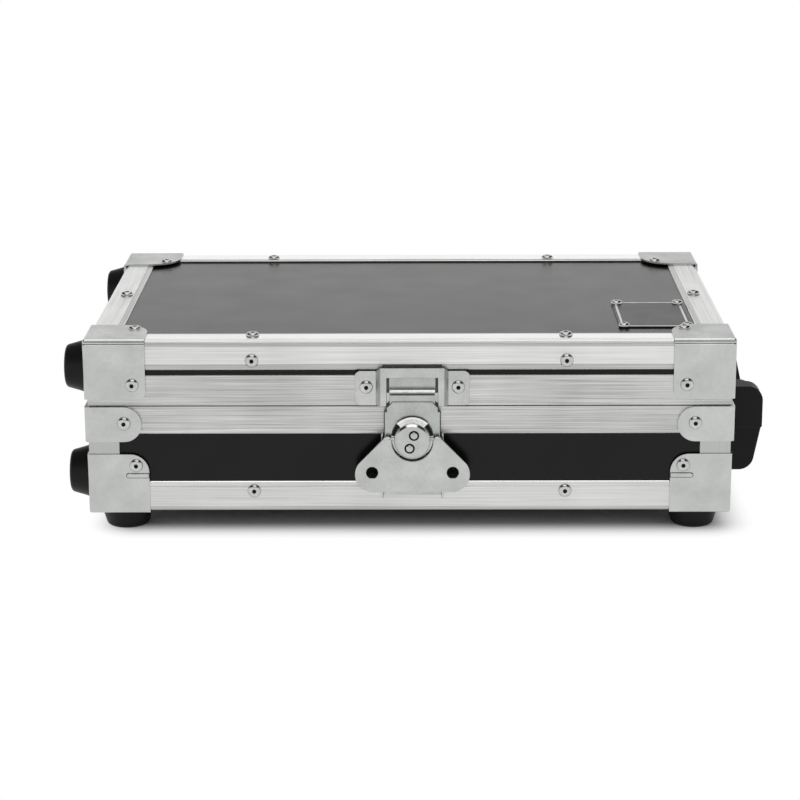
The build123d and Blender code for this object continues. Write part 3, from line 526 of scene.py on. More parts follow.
def addTurned(bm, profile, place, sides, inner=None, material=0):
    # Turned shape from (radius, height) points; bands from the inner one on get the second material
    rings = []
    angles = [2 * pi * k / sides for k in range(sides)]
    for radius, height in profile:
        around = [Vector((radius * cos(a), radius * sin(a), height)) for a in (angles if radius else [0])]
        rings.append([bm.verts.new(place @ point) for point in around])
    for band, (lower, upper) in enumerate(zip(rings, rings[1:])):
        for k in range(sides):
            m = (k + 1) % sides
            quad = [ring[i % len(ring)] for ring, i in ((lower, k), (lower, m), (upper, m), (upper, k))]
            face = bm.faces.new(list(dict.fromkeys(quad)))
            face.material_index = 1 if inner is not None and band >= inner else material


def addBar(bm, section, side, strips):
    # Mitred bar from a (depth, height) section; some strips of it get a material of their own
    place, half = onWall(side), halfLength(side)

    def end(way):
        return [bm.verts.new(place @ Vector((way * (half - u), -u, z))) for u, z in section]

    left, right = end(-1), end(1)
    for index, quad in enumerate(zip(left, onwards(left), onwards(right), right)):
        bm.faces.new(quad).material_index = strips.get(index, 0)
    bm.faces.new(left)
    bm.faces.new(right[::-1])


# The facets of the CAD meshes share no corners
joinWithin = 0.002  # mm
flatWithin = 1  # degree
endWithin = 0.02  # mm from a fastener's end


def meshOf(node):
    bm = bmesh.new()
    bm.from_mesh(cad[node].data)
    bmesh.ops.scale(bm, vec=(1 / mm,) * 3, verts=bm.verts)
    bmesh.ops.remove_doubles(bm, verts=bm.verts, dist=joinWithin)
    return bm


def solidsOf(node):
    # Each solid of a node as its low and high corner and its points
    bm = meshOf(node)
    left = set(bm.verts)
    found = []
    while left:
        group = set()
        queue = [left.pop()]
        while queue:
            vert = queue.pop()
            group.add(vert)
            for edge in vert.link_edges:
                other = edge.other_vert(vert)
                if other in left:
                    left.discard(other)
                    queue.append(other)
        points = [v.co.copy() for v in group]
        low = Vector([min(p[i] for p in points) for i in range(3)])
        high = Vector([max(p[i] for p in points) for i in range(3)])
        found.append((low, high, points))
    bm.free()
    return sorted(found, key=lambda item: tuple(round(c, 1) for c in item[0]))


def placesOf(node, axis=None, narrowFirst=False):
    # Frames that stand each fastener of a node on its wide end, or on its narrow one, with their heights
    places = []
    for low, high, points in solidsOf(node):
        size = high - low
        way = axis if axis is not None else min(range(3), key=lambda i: size[i])
        centre = (low + high) / 2
        spread = []
        for end in (low, high):
            near = [p for p in points if abs(p[way] - end[way]) < endWithin]
            spread.append(max(sum((p[i] - centre[i]) ** 2 for i in range(3) if i != way) for p in near))
        wideLow = spread[0] > spread[1]
        sign = 1 if wideLow != narrowFirst else -1
        seat = centre.copy()
        seat[way] = (low if sign > 0 else high)[way]
        outwards = Vector([sign if i == way else 0 for i in range(3)])
        turn = Vector((0, 0, 1)).rotation_difference(outwards).to_matrix().to_4x4()
        places.append((Matrix.Translation(seat) @ turn, size[way]))
    return places


def dressed(node, body, material, bevel):
    # A CAD shape with its flat faces joined and its edges rounded
    bm = meshOf(node)
    bmesh.ops.dissolve_limit(bm, angle_limit=radians(flatWithin), verts=bm.verts, edges=bm.edges)
    return makePiece(f"{node}_dressed", bm, body, [material], [node], bevel)


# Panels keep their CAD shape
for node, solid in cad.items():
    if node.endswith(("_panel", "_panels")):
        if not solid.material_slots:
            solid.data.materials.append(laminate)
        for slot in solid.material_slots:
            slot.material = laminate

# Free edge of every profile, a groove, a slightly leaning band and a round: (depth, distance from the edge)
edgeSteps = ((0, 3.55), (0.32, 3.3), (0.34, 3.05), (0.1, 2.8), (0.3, 0.75), (0.42, 0.3), (0.75, 0))


def freeEdge(length, wall):
    # From the open face round the edge to the back, as (depth, run)
    return [(depth, length - back) for depth, back in edgeSteps] + [(wall, length)]


# Aluminium angles of the outer edges
angleLook = {
    "wall": 1.6,
    "base": (18.4, 18.4, 2.2),  # upright leg, flat leg and corner round
    "lid": (18.1, 18.5, 3.2),
    "roundStep": 15,  # degrees
    "above": 0.8,  # how far the painted shade on the base's lower edge runs up past its round
}


def angleSection(look, part, edge, way):
    wall = look["wall"]
    upLeg, flatLeg, cornerRound = look[part]
    reach = cornerRound * 2
    corner = rounded([(reach, 0, 0), (0, 0, cornerRound), (0, reach, 0)], look["roundStep"])[1:-1]
    flatPoints = [(run, depth) for depth, run in freeEdge(flatLeg, wall)]
    section = flatPoints[::-1] + [tuple(p) for p in corner] + [(0, cornerRound + look["above"])]
    section += freeEdge(upLeg, wall) + [(wall, wall)]
    return [(u, edge + way * v) for u, v in section]


# Closure rails: the base's carries the tongue and the lid's the groove for it
railLook = {
    "wall": 1.6, "depth": 9.3, "innerWall": 1.2, "innerLeg": 8.5, "soft": 0.3,  # of both rails
    "baseDrop": 16.9, "baseCap": 2.0, "tongue": (3.5, 6.5, 3.0, 0.5),  # near, far, height and bevel
    "baseLines": ((-5.6, 0.2, 0.12), (-9.75, 0.15, 0.1)),  # die lines: level, half width and depth
    "lidRise": 18.7, "lidCap": 4.6, "lidStep": 0.4, "groove": (2.8, 7.2, 3.4),
    "lidLines": ((15.65, 0.15, 0.12), (9.7, 0.2, 0.12)), "stepLine": (1.75, 0.15, 0.12),
    # Soft edges: depth and distance from the edge
    "baseEdge": ((0.35, 0), (0.08, 0.12), (0, 0.35)),
    "lidEdge": ((0.4, 0), (0.1, 0.12), (0, 0.4)),
    "stepEdge": ((0, 0.3), (0.12, 0.08)),
}


def dieCut(level, half, depth, face=0):
    return [(face, level + half), (face + depth, level), (face, level - half)]


def baseRailSection(look, z):
    near, far, height, bevel = look["tongue"]
    wall, depth, soft = look["wall"], look["depth"], look["soft"]
    inner, cap, leg = depth - look["innerWall"], -look["baseCap"], -look["innerLeg"]
    points = [point for line in look["baseLines"] for point in dieCut(*line)]
    points += [(u, -v) for u, v in freeEdge(look["baseDrop"], wall)]
    points += [
        (wall, cap), (inner, cap), (inner, leg), (depth, leg), (depth, -soft), (depth - soft, 0),
        (far, 0), (far, height - bevel), (far - bevel, height),
        (near + bevel, height), (near, height - bevel), (near, 0),
    ]
    points += [(u, -v) for u, v in look["baseEdge"]]
    return [(u, z + v) for u, v in points]


def lidRailSection(look, z):
    near, far, height = look["groove"]
    wall, depth, soft = look["wall"], look["depth"], look["soft"]
    inner, leg = depth - look["innerWall"], look["innerLeg"]
    step, cap, rise = look["lidStep"], look["lidCap"], look["lidRise"]
    points = [
        (step + soft, 0), (near, 0), (near, height), (far, height), (far, 0), (depth - soft, 0),
        (depth, soft), (depth, leg), (inner, leg), (inner, cap), (wall, cap), (wall, rise),
    ]
    points += [(u, rise - v) for u, v in look["lidEdge"]]
    points += [point for line in look["lidLines"] for point in dieCut(*line)]
    points += [(u, cap + v) for u, v in look["stepEdge"]]
    points += [(step, cap), *dieCut(*look["stepLine"], step), (step, soft)]
    return [(u, z + v) for u, v in points]


mill = {
    (profile, way): makeMill(profile, way)
    for profile in millTones for way in ("x", "y") if profile != "post"
}
sections = {
    "base_angle": ("base angle", "base", angleSection(angleLook, "base", caseBottom, 1)),
    "lid_angle": ("lid angle", "lid", angleSection(angleLook, "lid", caseTop, -1)),
    "base_rail": ("rail", "base", baseRailSection(railLook, baseRim)),
    "lid_rail": ("rail", "lid", lidRailSection(railLook, lidRim)),
}
# Strips of an angle's section, counted from the end of its flat leg
flatEnd, flatBand, flatFace = 0, range(2, 6), 7
roundStrips, lowerRound, upBand, upEdge = range(8, 15), range(11, 15), range(17, 22), range(20, 23)
# The lid angle's bands and lower round, and the base angle's round, get the grey band tone as painted shade
paintedShadeStrips = {"lid angle": (*flatBand, *lowerRound, *upBand), "base angle": roundStrips}
for side in sideTurn:
    way = "x" if side in ("front", "back") else "y"
    for node, (profile, body, section) in sections.items():
        strips = dict.fromkeys(paintedShadeStrips.get(profile, ()), 1)
        # The base angle's upper edge gets a painted highlight
        if profile == "base angle":
            strips |= dict.fromkeys(upEdge, 2)
        # The top of the lid's front and back bars gets painted sheen
        if profile == "lid angle" and way == "x":
            # The inner edge of the flat leg of these bars gets a painted shadow line
            strips |= {flatFace: 2, flatEnd: 3}
        bm = bmesh.new()
        addBar(bm, section, side, strips)
        metals = [mill[profile, way], mill["edge band", way], paintedSheenAluminium, paintedShadeSteel]
        makePiece(f"{node}_{side}_bar", bm, body, metals, [f"{node}_{side}"])
dressed("base_corner_posts", "base", makeMill("post", "z"), bevel=0.4)
print("profiles made")


# Pressed corners
cornerAxes = {"top": (0, 1), "back": (0, 2), "right": (1, 2)}  # of each outline
bendSteps = 4
earStep = 9  # degrees between the points of a round ear
noGap = 0.001  # mm


def addCorner(bm, outlines, wall, edgeRound, place, seams=(), topClosed=True, topWall=None):
    # Three (or two) outlines on the outer faces, bent over round edges and given their thickness
    shell = bmesh.new()
    limit = wall - edgeRound
    crest = limit + edgeRound * tan(pi / 8)  # the middle of a bend
    bend = [limit + edgeRound * tan(pi / 4 * k / bendSteps) for k in range(bendSteps)]
    folds = [level + side * width / 2 for level, width, _ in seams for side in (-1, 0, 1)]
    for face, outline in outlines.items():
        verts = []
        for point in outline:
            corner = Vector((wall, wall, wall))
            for axis, value in zip(cornerAxes[face], point):
                corner[axis] = value
            verts.append(shell.verts.new(corner))
        flat = shell.faces.new(verts)
        geometry = [flat, *flat.edges, *flat.verts]
        for axis in cornerAxes[face]:
            normal = Vector([i == axis for i in range(3)])
            cuts = bend if axis != 2 else (bend if topClosed else []) + folds
            for value in cuts:
                result = bmesh.ops.bisect_plane(
                    shell, geom=geometry, plane_co=normal * value, plane_no=normal, dist=noGap / 10
                )
                geometry = [part for part in {*geometry, *result["geom"]} if part.is_valid]
    bmesh.ops.remove_doubles(shell, verts=shell.verts, dist=noGap)
    for face in shell.faces:
        spot = face.calc_center_median()
        # The outer half of the top bend gets painted highlight
        if topWall and spot.z > wall - noGap and max(spot.x, spot.y) > crest:
            face.material_index = 1
        # The seams' upper halves take the dark steel: the joint's dark line with painted shade in it
        elif any(level < spot.z < level + width / 2 for level, width, _ in seams):
            face.material_index = 2
    for vert in shell.verts:
        flat = vert.co.copy()
        core = Vector([min(c, limit) for c in flat])
        if not topClosed:
            core.z = flat.z
        away = flat - core
        vert.co = core + away.normalized() * edgeRound
        for level, _, depth in seams:
            if abs(flat.z - level) < noGap:
                vert.co -= Vector((away.x, away.y, 0)).normalized() * depth
    bmesh.ops.recalc_face_normals(shell, faces=shell.faces)
    shell.normal_update()
    inside = Vector((-40, -40, -40))  # a point well inside the case
    outwards = sum(f.normal.dot(f.calc_center_median() - inside) for f in shell.faces) > 0
    faces = list(shell.faces)
    rim = [e for e in shell.edges if e.is_boundary]
    inner = {}
    for vert in list(shell.verts):
        normal = vert.normal if outwards else -vert.normal
        inner[vert] = shell.verts.new(vert.co - normal * wall)
        if topWall and vert.co.z > wall - topWall:
            inner[vert].co.z = wall - topWall
    for face in faces:
        shell.faces.new([inner[v] for v in reversed(face.verts)])
    for edge in rim:
        a, b = edge.verts
        shell.faces.new((a, b, inner[b], inner[a]))
    bmesh.ops.transform(shell, matrix=place, verts=shell.verts)
    mesh = bpy.data.meshes.new("corner")
    shell.to_mesh(mesh)
    shell.free()
    bm.from_mesh(mesh)
    bpy.data.meshes.remove(mesh)


def cornerSquare(leg, wall, earRound):
    low = wall - leg
    return rounded([(low, low, earRound), (wall, low, 0), (wall, wall, 0), (low, wall, 0)], earStep)


lidCornerLook = {
    "leg": 36.5, "wall": 1.6, "topWall": 1.0, "edgeRound": 1.7, "earRound": 18.5, "sideRound": 5.0,
    "seams": ((-0.1, 0.6, 0.15), (-1.5, 0.8, 0.35)),  # height, width and depth of the folded seam's lines
    # Section of the ring pressed round the rivet: radius and height
    "ring": ((7.9, -0.2), (7.9, 0.02), (7.4, 0.16), (6.6, 0.16), (6.0, 0.02), (5.9, -0.2), (7.9, -0.2)),
    "ringSides": 40,
    "rivet": (28.6, 27.8),  # from the side and from the top
}
baseCornerLook = {
    "leg": 36.5, "wall": 1.0, "edgeRound": 1.3, "earRound": 11.0,
    "bead": (13.5, 2.6, 24.7, 0.6),  # length, height, level and how far it stands out
    "beadEnd": (0.2, 0.4),  # gap to the sheet's edge and corner round there
    "beadTip": 0.95,  # its round at the other end, as a share of half its height
    "beadRoot": (-0.4, 0.45),  # where it starts inside the sheet, and its soft edge
    "beadLine": (0.35, 0.03, 0.02),  # width, height and soft edge of the painted shadow line round it
}
rimCornerLook = {"leg": 33.7, "height": 21.3, "wall": 1.8, "edgeRound": 2.2}


def lidCorner(bm, look, xSign, ySign):
    wall, leg, topWall = look["wall"], look["leg"], look["topWall"]
    side = cornerSquare(leg, wall, look["sideRound"])
    outlines = {"top": cornerSquare(leg, wall, look["earRound"]), "back": side, "right": side}
    place = atCorner(xSign, ySign, caseTop + topWall - wall, 1)
    addCorner(bm, outlines, wall, look["edgeRound"], place, look["seams"], topWall=topWall)
    along, level = [wall - gap for gap in look["rivet"]]
    for turn, seat in ((upright, (along, wall, level)), (uprightEnd, (wall, along, level))):
        addTurned(bm, look["ring"], place @ Matrix.Translation(seat) @ turn, look["ringSides"])


def baseCorner(bm, look, xSign, ySign):
    wall, leg = look["wall"], look["leg"]
    place = atCorner(xSign, ySign, caseBottom, -1)
    outlines = dict.fromkeys(cornerAxes, cornerSquare(leg, wall, look["earRound"]))
    addCorner(bm, outlines, wall, look["edgeRound"], place)
    length, height, rise, proud = look["bead"]
    gap, endRound = look["beadEnd"]
    root, soft = look["beadRoot"]
    lineWidth, lineProud, lineSoft = look["beadLine"]
    half = height / 2
    level, tip = wall + half - rise, half * look["beadTip"]
    start, end = wall - leg + gap, wall - leg + length
    bead = rounded([
        (start, level - half, endRound), (end, level - half, tip),
        (end, level + half, tip), (start, level + half, endRound),
    ])
    line = inset(turnedWay(bead, False), lineWidth)
    seats = [(upright, (0, wall, 0)), (uprightEnd, (wall, 0, 0))]
    for turn, seat in seats[:1] if xSign < 0 else seats:  # the left end has its feet there
        onFace = place @ Matrix.Translation(seat) @ turn
        addPlate(bm, bead, [], root, proud, soft, onFace, steps=3)
        addPlate(bm, line, [], root, lineProud, lineSoft, onFace, steps=1, material=1)


def rimCorner(bm, look, xSign, ySign):
    wall, height = look["wall"], look["height"]
    low = wall - look["leg"]
    ear = height / 2 * 0.999  # the two rounds just don't meet
    outline = rounded([(low, -height, ear), (wall, -height, 0), (wall, 0, 0), (low, 0, ear)], earStep)
    place = atCorner(xSign, ySign, baseRim, 1)
    addCorner(bm, {"back": outline, "right": outline}, wall, look["edgeRound"], place, topClosed=False)


rimBm = bmesh.new()
for row, ySign in (("front", -1), ("rear", 1)):
    lidBm, baseBm = bmesh.new(), bmesh.new()
    for xSign in (-1, 1):
        lidCorner(lidBm, lidCornerLook, xSign, ySign)
        baseCorner(baseBm, baseCornerLook, xSign, ySign)
        rimCorner(rimBm, rimCornerLook, xSign, ySign)
    for body, bm, metals in (
        ("lid", lidBm, [zincPlate, paintedHighlightZinc, paintedShadeSteel]), ("base", baseBm, [zincPlate, paintedShadeSteel]),
    ):
        node = f"{body}_corners_{row}"
        makePiece(f"{node}_pressed", bm, body, metals, [node])
makePiece("base_rim_corners_pressed", rimBm, "base", [zincPlate], ["base_rim_corners"])
print("corners made")

# Blind rivets: a low dome, a lip round the mandrel hole and the broken mandrel in it
rivetLook = {
    "heads": {  # body, radius and height
        "base_rivets": ("base", 4.0, 1.9),
        "lid_rivets": ("lid", 4.0, 1.9),
        "name_plate_rivets": ("lid", 3.5, 1.8),
    },
    "foot": ((0, 0), (0.97, 0), (1, 0.08), (1, 0.21)),  # share of the radius and height, up to the dome
    "flange": 0.3, "dome": 0.985,  # height and share of the radius where the dome starts
    "fullness": 0.9,  # under 1 it is fuller than a quarter of an ellipse
    "lip": 0.4375, "hole": 0.32,  # shares of the radius
    "soft": 0.12,  # fall from the lip to the hole
    "holeFloor": 0.25,
    "mandrel": ((0.96, 0.3), (0.6, 0.32), (0, 0)),  # share of the hole and height over its floor
    "steps": 7, "sides": 28,
}


def rivetProfile(look, radius, height):
    flange, floor = look["flange"], look["holeFloor"]
    lip, hole, dome = [look[part] * radius for part in ("lip", "hole", "dome")]
    points = [(radius * share, level) for share, level in look["foot"]]
    for k in range(look["steps"] + 1):
        angle = pi / 2 * k / look["steps"]
        across = lip + (dome - lip) * cos(angle)
        points.append((across, flange + (height - flange) * sin(angle) ** look["fullness"]))
    points += [((lip + hole) / 2, height), (hole, height - look["soft"])]
    inner = len(points) - 1
    return points + [(hole * share, floor + level) for share, level in look["mandrel"]], inner


for node, (body, radius, height) in rivetLook["heads"].items():
    bm = bmesh.new()
    profile, inner = rivetProfile(rivetLook, radius, height)
    for place, _ in placesOf(node):
        # The hole's walls and the mandrel take the dark steel; on the walls it is painted shade
        addTurned(bm, profile, place, rivetLook["sides"], inner=inner)
    makePiece(f"{node}_set", bm, body, [rivetMetal, mandrelSteelAndShade], [node])
print("rivets made")

# Rubber feet: truncated cones with a rounded tip and a sunk screw
footLook = {
    "base": 16.0, "tip": 12.4, "height": 12.5, "tipRound": 2.3, "recess": 5.2, "depth": 6.5, "hole": 2.3,
    "seatEdge": ((0.3, 0), (0, 0.25), (0.15, 1.1)),  # how far in and up
    "flank": (0.35, 0.7),  # shares of the height to the tip's round
    "recessEdge": ((0.9, 0), (0.25, 0.2), (0, 0.8)),  # how far out and down
    "roundSteps": 5, "sides": 48,
}
# Pan head screws with a cross recess
footScrew = {"head": 4.4, "height": 2.4, "shank": 2.1}
handleScrew = {"head": 3.8, "height": 2.6, "shank": 2.1}
crossLook = {"arm": 0.52, "slot": 0.13, "floor": 0.4, "soft": 0.3}  # shares of the head's radius and height
screwSides = {"shank": 16, "head": 28}


def footProfile(look):
    base, height, soft, hole, recess = [look[key] for key in ("base", "height", "tipRound", "hole", "recess")]
    floor = height - look["depth"]
    shoulder = height - soft
    slope = (base - look["tip"]) / height
    side = base - slope * shoulder
    points = [(hole, 0)] + [(base - gap, up) for gap, up in look["seatEdge"]]
    points += [(base - slope * shoulder * k, shoulder * k) for k in look["flank"]]
    for k in range(look["roundSteps"] + 1):
        angle = pi / 2 * k / look["roundSteps"]
        up, out = soft * sin(angle), soft * cos(angle)
        points.append((side - soft + out - slope * up / 2, shoulder + up))
    points += [(recess + gap, height - down) for gap, down in look["recessEdge"]]
    return points + [(recess, floor), (hole, floor), (hole, 0)]


def addScrew(bm, place, length, look):
    head, shank = look["head"], look["shank"]
    seat = length - look["height"]
    floor = seat + look["height"] * crossLook["floor"]
    arm, half = head * crossLook["arm"], head * crossLook["slot"]
    recess = [(half, half), (half, arm), (-half, arm)]
    for _ in range(3):  # the other quarters of the cross
        recess += [(-y, x) for x, y in recess[-3:]]
    addTurned(bm, cylinder(shank, 0, seat), place, screwSides["shank"])
    addTurned(bm, cylinder(head, seat, floor), place, screwSides["head"])
    top, cross = circle(0, 0, head, screwSides["head"]), [Vector(p) for p in recess]
    addPlate(bm, top, [cross], floor, length, look["height"] * crossLook["soft"], place, steps=3)


for node, screws, body in (
    ("bottom_feet", "bottom_foot_screws", "base"),
    ("base_side_feet", "base_side_foot_screws", "base"),
    ("lid_side_feet", "lid_side_foot_screws", "lid"),
):
    feetBm, screwBm = bmesh.new(), bmesh.new()
    for place, _ in placesOf(node):
        addTurned(feetBm, footProfile(footLook), place, footLook["sides"])
    axis = 2 if node == "bottom_feet" else 0
    for place, length in placesOf(screws, axis, narrowFirst=True):
        addScrew(screwBm, place, length, footScrew)
    makePiece(f"{node}_moulded", feetBm, body, [rubber], [node])
    makePiece(f"{screws}_cross", screwBm, body, [screwSteel], [screws])
print("feet made")

# Latch
latchZ = baseRim - 17.3  # the drum's axis
latchOffset = 1.8  # from the middle of the front
overlap = 0.05  # of two shapes that are one casting


def onFront(z):
    # Carries (along, up, outwards), counted from the latch's middle line and from z
    return onWall("front") @ Matrix.Translation((latchOffset, 0, z)) @ upright


latchPlace = onFront(latchZ)
camLook = {
    "pivot": (3.0, 0.3, 1.5), "eccentric": (7.0, 1.5, 7.4),  # each with its radius, low and high
    "throw": -3.25, "collar": (12.6, 7.4, 8.6), "soft": 0.4,
    "crown": (12.9, 46), "recess": (82, 0.8),  # degrees from the top, and how deep the collar is cut; the crown gets painted highlight, the cut-down collar beside it painted shade
    "drum": (10.7, 16.5), "edge": (1.3, 1.2),  # width and depth of the bevel round the face
    "bevelFoot": ((0, -0.15), (-0.12, 0.05)), "bevelHead": (0.15, -0.05),  # its soft ends: outwards and up
    "faceSoft": 0.12,
    "shine": 50,  # degrees to each side of the top where the drum's side gets painted highlight
    "shineIn": 0.2,  # how far inside the bevel it still counts as the side
    "rivets": ((1.0, 3.9), (-1.6, -3.9)), "rivet": (2.15, 17.1), "groove": (3.05, 0.8),
    "rivetEdge": ((0, 0.55), (0.2, 0.3)),  # how far in and under the top
    "rivetTop": ((0.6, 0.12), (0.48, 0.2), (0.36, 0.08), (0.2, 0), (0, 0)),  # peened; shares of the radius
    "sides": {"pivot": 32, "eccentric": 40, "drum": 64, "rivet": 28},
}


sectorStep = 5  # degrees


def ringSector(inner, outer, start, end):
    # Outline of a part of a ring, with angles in degrees counted clockwise from the top
    steps = round(abs(end - start) / sectorStep)
    start, end = radians(90 - start), radians(90 - end)
    return arc(0, 0, outer, start, end, steps) + arc(0, 0, inner, end, start, steps)


def makeCam(look):
    bm = bmesh.new()
    sides = look["sides"]
    addTurned(bm, cylinder(*look["pivot"]), latchPlace, sides["pivot"])
    offAxis = latchPlace @ Matrix.Translation((0, look["throw"], 0))
    addTurned(bm, cylinder(*look["eccentric"]), offAxis, sides["eccentric"])
    outer, low, high = look["collar"]
    soft = look["soft"]
    crown, crownEnd = look["crown"]
    recessEnd, deep = look["recess"]
    radius, face = look["drum"]
    # The top of the cut-down collar gets painted shade
    addTurned(bm, cylinder(outer - soft / 2, low, high - deep), latchPlace, sides["drum"], inner=2)
    # The crown round the top of the collar gets painted highlight
    highlighted = ringSector(radius - soft, crown, -crownEnd, crownEnd)
    addPlate(bm, highlighted, [], low, high, soft, latchPlace, material=2)
    plain = ringSector(radius - soft, outer, recessEnd, 360 - recessEnd)
    addPlate(bm, plain, [], low, high, soft, latchPlace)
    wide, down = look["edge"]
    groove, sunk = look["groove"]
    shoulder, floor = radius - wide, face - sunk
    out, up = look["bevelHead"]
    profile = [(0, low), (radius, low)] + [(radius + u, face - down + v) for u, v in look["bevelFoot"]]
    profile += [(shoulder + out, face + up), (shoulder, face), (shoulder, floor), (0, floor)]
    # The floor sunk round the rivets gets painted shade
    before = set(bm.faces)
    addTurned(bm, profile, latchPlace, sides["drum"], inner=6)
    # The top of the drum's side and of its bevel gets painted highlight
    for side in set(bm.faces) - before:
        here = latchPlace.inverted() @ side.calc_center_median()
        outermost = here.xy.length > shoulder - look["shineIn"]
        if outermost and abs(atan2(here.x, here.y)) < radians(look["shine"]):
            side.material_index = 2
    holes = [circle(x, y, groove, sides["rivet"]) for x, y in look["rivets"]]
    faceOutline = circle(0, 0, shoulder + overlap, sides["drum"])
    addPlate(bm, faceOutline, holes, floor, face, look["faceSoft"], latchPlace)
    metals = [latchZinc, mandrelSteelAndShade, paintedHighlightZinc]
    makePiece("latch_cam_turned", bm, "latch_cam", metals, ["latch_cam"])


def makeCamRivets(look):
    bm = bmesh.new()
    radius, top = look["rivet"]
    low = look["drum"][1] - look["groove"][1]
    profile = [(0, low), (radius, low)] + [(radius - gap, top - down) for gap, down in look["rivetEdge"]]
    profile += [(radius * share, top - down) for share, down in look["rivetTop"]]
    for x, y in look["rivets"]:
        addTurned(bm, profile, latchPlace @ Matrix.Translation((x, y, 0)), look["sides"]["rivet"])
    makePiece("latch_cam_rivets_peened", bm, "latch_cam", [latchZinc], ["latch_cam_rivets"])


wingLook = {
    "lobe": (23.0, -21.75, 11.0), "shoulder": (15.4, -0.1, 1.4), "hole": (23.8, -20.65, 3.5),
    "cutout": (-1.55, 12.05), "knuckle": (13.0, 16.8, 1.1), "knuckleSoft": 0.3, "earBevel": 0.5,
    "reach": 9.5, "wall": 1.6, "edge": 0.55,
    "steps": (18, 6, 16),  # of the lobe, the shoulder and the cutout
    "holeSides": 36, "knuckleSides": 28,
}


def wingOutline(look):
    lobeX, lobeY, lobeR = look["lobe"]
    x, y, r = look["shoulder"]
    away = Vector((x - lobeX, y - lobeY))
    # Direction in which the line that touches both circles leaves them
    tangent = atan2(away.y, away.x) - pi / 2 + (lobeR - r) / away.length
    lobeSteps, shoulderSteps, cutoutSteps = look["steps"]
    right = arc(lobeX, lobeY, lobeR, -pi / 2, tangent, lobeSteps)
    right += arc(x, y, r, tangent, pi / 2, shoulderSteps)
    inner = look["knuckle"][0]
    drop, radius = look["cutout"]
    start = atan2(y - drop, (radius ** 2 - (y - drop) ** 2) ** 0.5)
    bevel = look["earBevel"]
    right += [Vector((inner + bevel, y + r)), Vector((inner, y + r - bevel)), Vector((inner, y))]
    right += arc(0, drop, radius, start, -pi / 2, cutoutSteps)
    return right + [Vector((-p.x, p.y)) for p in reversed(right[:-1])]


def makeWing(look):
    bm = bmesh.new()
    near, far = look["reach"] - look["wall"] / 2, look["reach"] + look["wall"] / 2
    x, y, radius = look["hole"]
    holes = [circle(sign * x, y, radius, look["holeSides"]) for sign in (-1, 1)]
    addPlate(bm, wingOutline(look), holes, near, far, look["edge"], latchPlace, steps=3)
    start, end, radius = look["knuckle"]
    axis = latchPlace @ Matrix.Translation((0, look["shoulder"][1], look["reach"])) @ lying
    for low, high in ((-end, -start), (start, end)):
        addTurned(bm, roller(radius, low, high, look["knuckleSoft"]), axis, look["knuckleSides"])
    makePiece("latch_wing_stamped", bm, "latch_wing", [latchZinc], ["latch_wing"])


linkLook = {
    "half": 16.25, "top": 21.1, "low": -16.0, "shoulder": (5.8, 1.3), "chamfer": 3.2, "cornerRound": 0.5,
    "slot": (10.65, 7.8, 3.0, -3.25),  # half width, half height, corner round and level
    "sheet": (3.9, 5.7), "edge": 0.4,
    "neck": (13.4, 2.4, 3.9),  # half width and depths
    "neckEnd": (0.5, 0.25),  # how far under the hook's top it ends, and its soft edge
    "hook": (0.6, 26.5, 28.3),  # how far it reaches in, low and high
    "hookEnd": (0.4, 0.3),  # how far behind the neck's face it stays, and its soft edge
    "lip": (0.95, 0.45, 0.2, 24),  # radius, how far it stands out, the bevel of its ends and its sides
    "shade": (0.5, 3.5, 3.84, -3.0),  # painted shadow round the link, on a dark sheet behind it: how far it shows, its depths and where it ends
    "shadeInside": (4, 4, 8),  # its hidden middle is left out, this far from the side, the end and the top
    "fold": (0.4, 24.9, 26.2, 0.3),  # painted shade under the lip: gap beside it, low, high and how far its sides lean
    "foldDepth": (-0.2, 0.06),
    "shadeSoft": 0.05,
}


def linkOutline(look, grow=0.0, low=None):
    step, inwards = look["shoulder"]
    half, top, chamfer = look["half"] + grow, look["top"] + grow, look["chamfer"]
    neck = half - inwards
    right = [
        (half, look["low"] if low is None else low), (half, top - step), (neck, top - step - grow),
        (neck, top - chamfer), (neck - chamfer, top),
    ]
    points = right + [(-x, y) for x, y in reversed(right)]
    return rounded([(x, y, look["cornerRound"]) for x, y in points])


def makeLink(look):
    bm = bmesh.new()
    wide, high, cornerRound, level = look["slot"]
    slot = rounded([(p.x, level + p.y, cornerRound) for p in rectangle(wide, -high, high)])
    addPlate(bm, linkOutline(look), [slot], *look["sheet"], look["edge"], latchPlace, steps=3)
    grow, near, far, low = look["shade"]
    sideGap, endGap, topGap = look["shadeInside"]
    within = rectangle(look["half"] - sideGap, low + endGap, look["top"] - topGap)
    shadeSheet = {"edge": look["shadeSoft"], "place": latchPlace, "steps": 1, "material": 1}
    addPlate(bm, linkOutline(look, grow, low), [within], near, far, **shadeSheet)
    half, near, far = look["neck"]
    reach, hookLow, hookHigh = look["hook"]
    start = look["top"] - look["chamfer"]
    gap, soft = look["neckEnd"]
    addPlate(bm, rectangle(half, start, hookHigh - gap), [], near, far, soft, latchPlace)
    gap, soft = look["hookEnd"]
    addPlate(bm, rectangle(half, hookLow, hookHigh), [], reach, far - gap, soft, latchPlace)
    gap, low, high, lean = look["fold"]
    root, proud = [far + depth for depth in look["foldDepth"]]
    addPlate(bm, rectangle(half - gap, low, high, lean), [], root, proud, **shadeSheet)
    radius, proud, soft, sides = look["lip"]
    axis = latchPlace @ Matrix.Translation((0, hookHigh - radius, far + proud - radius)) @ lying
    # The lip gets painted highlight
    addTurned(bm, roller(radius, -half, half, soft), axis, sides, material=2)
    metals = [greyZincAndShade, paintedShadeSteel, paintedHighlightZinc]
    makePiece("latch_link_folded", bm, "latch_link", metals, ["latch_link"])


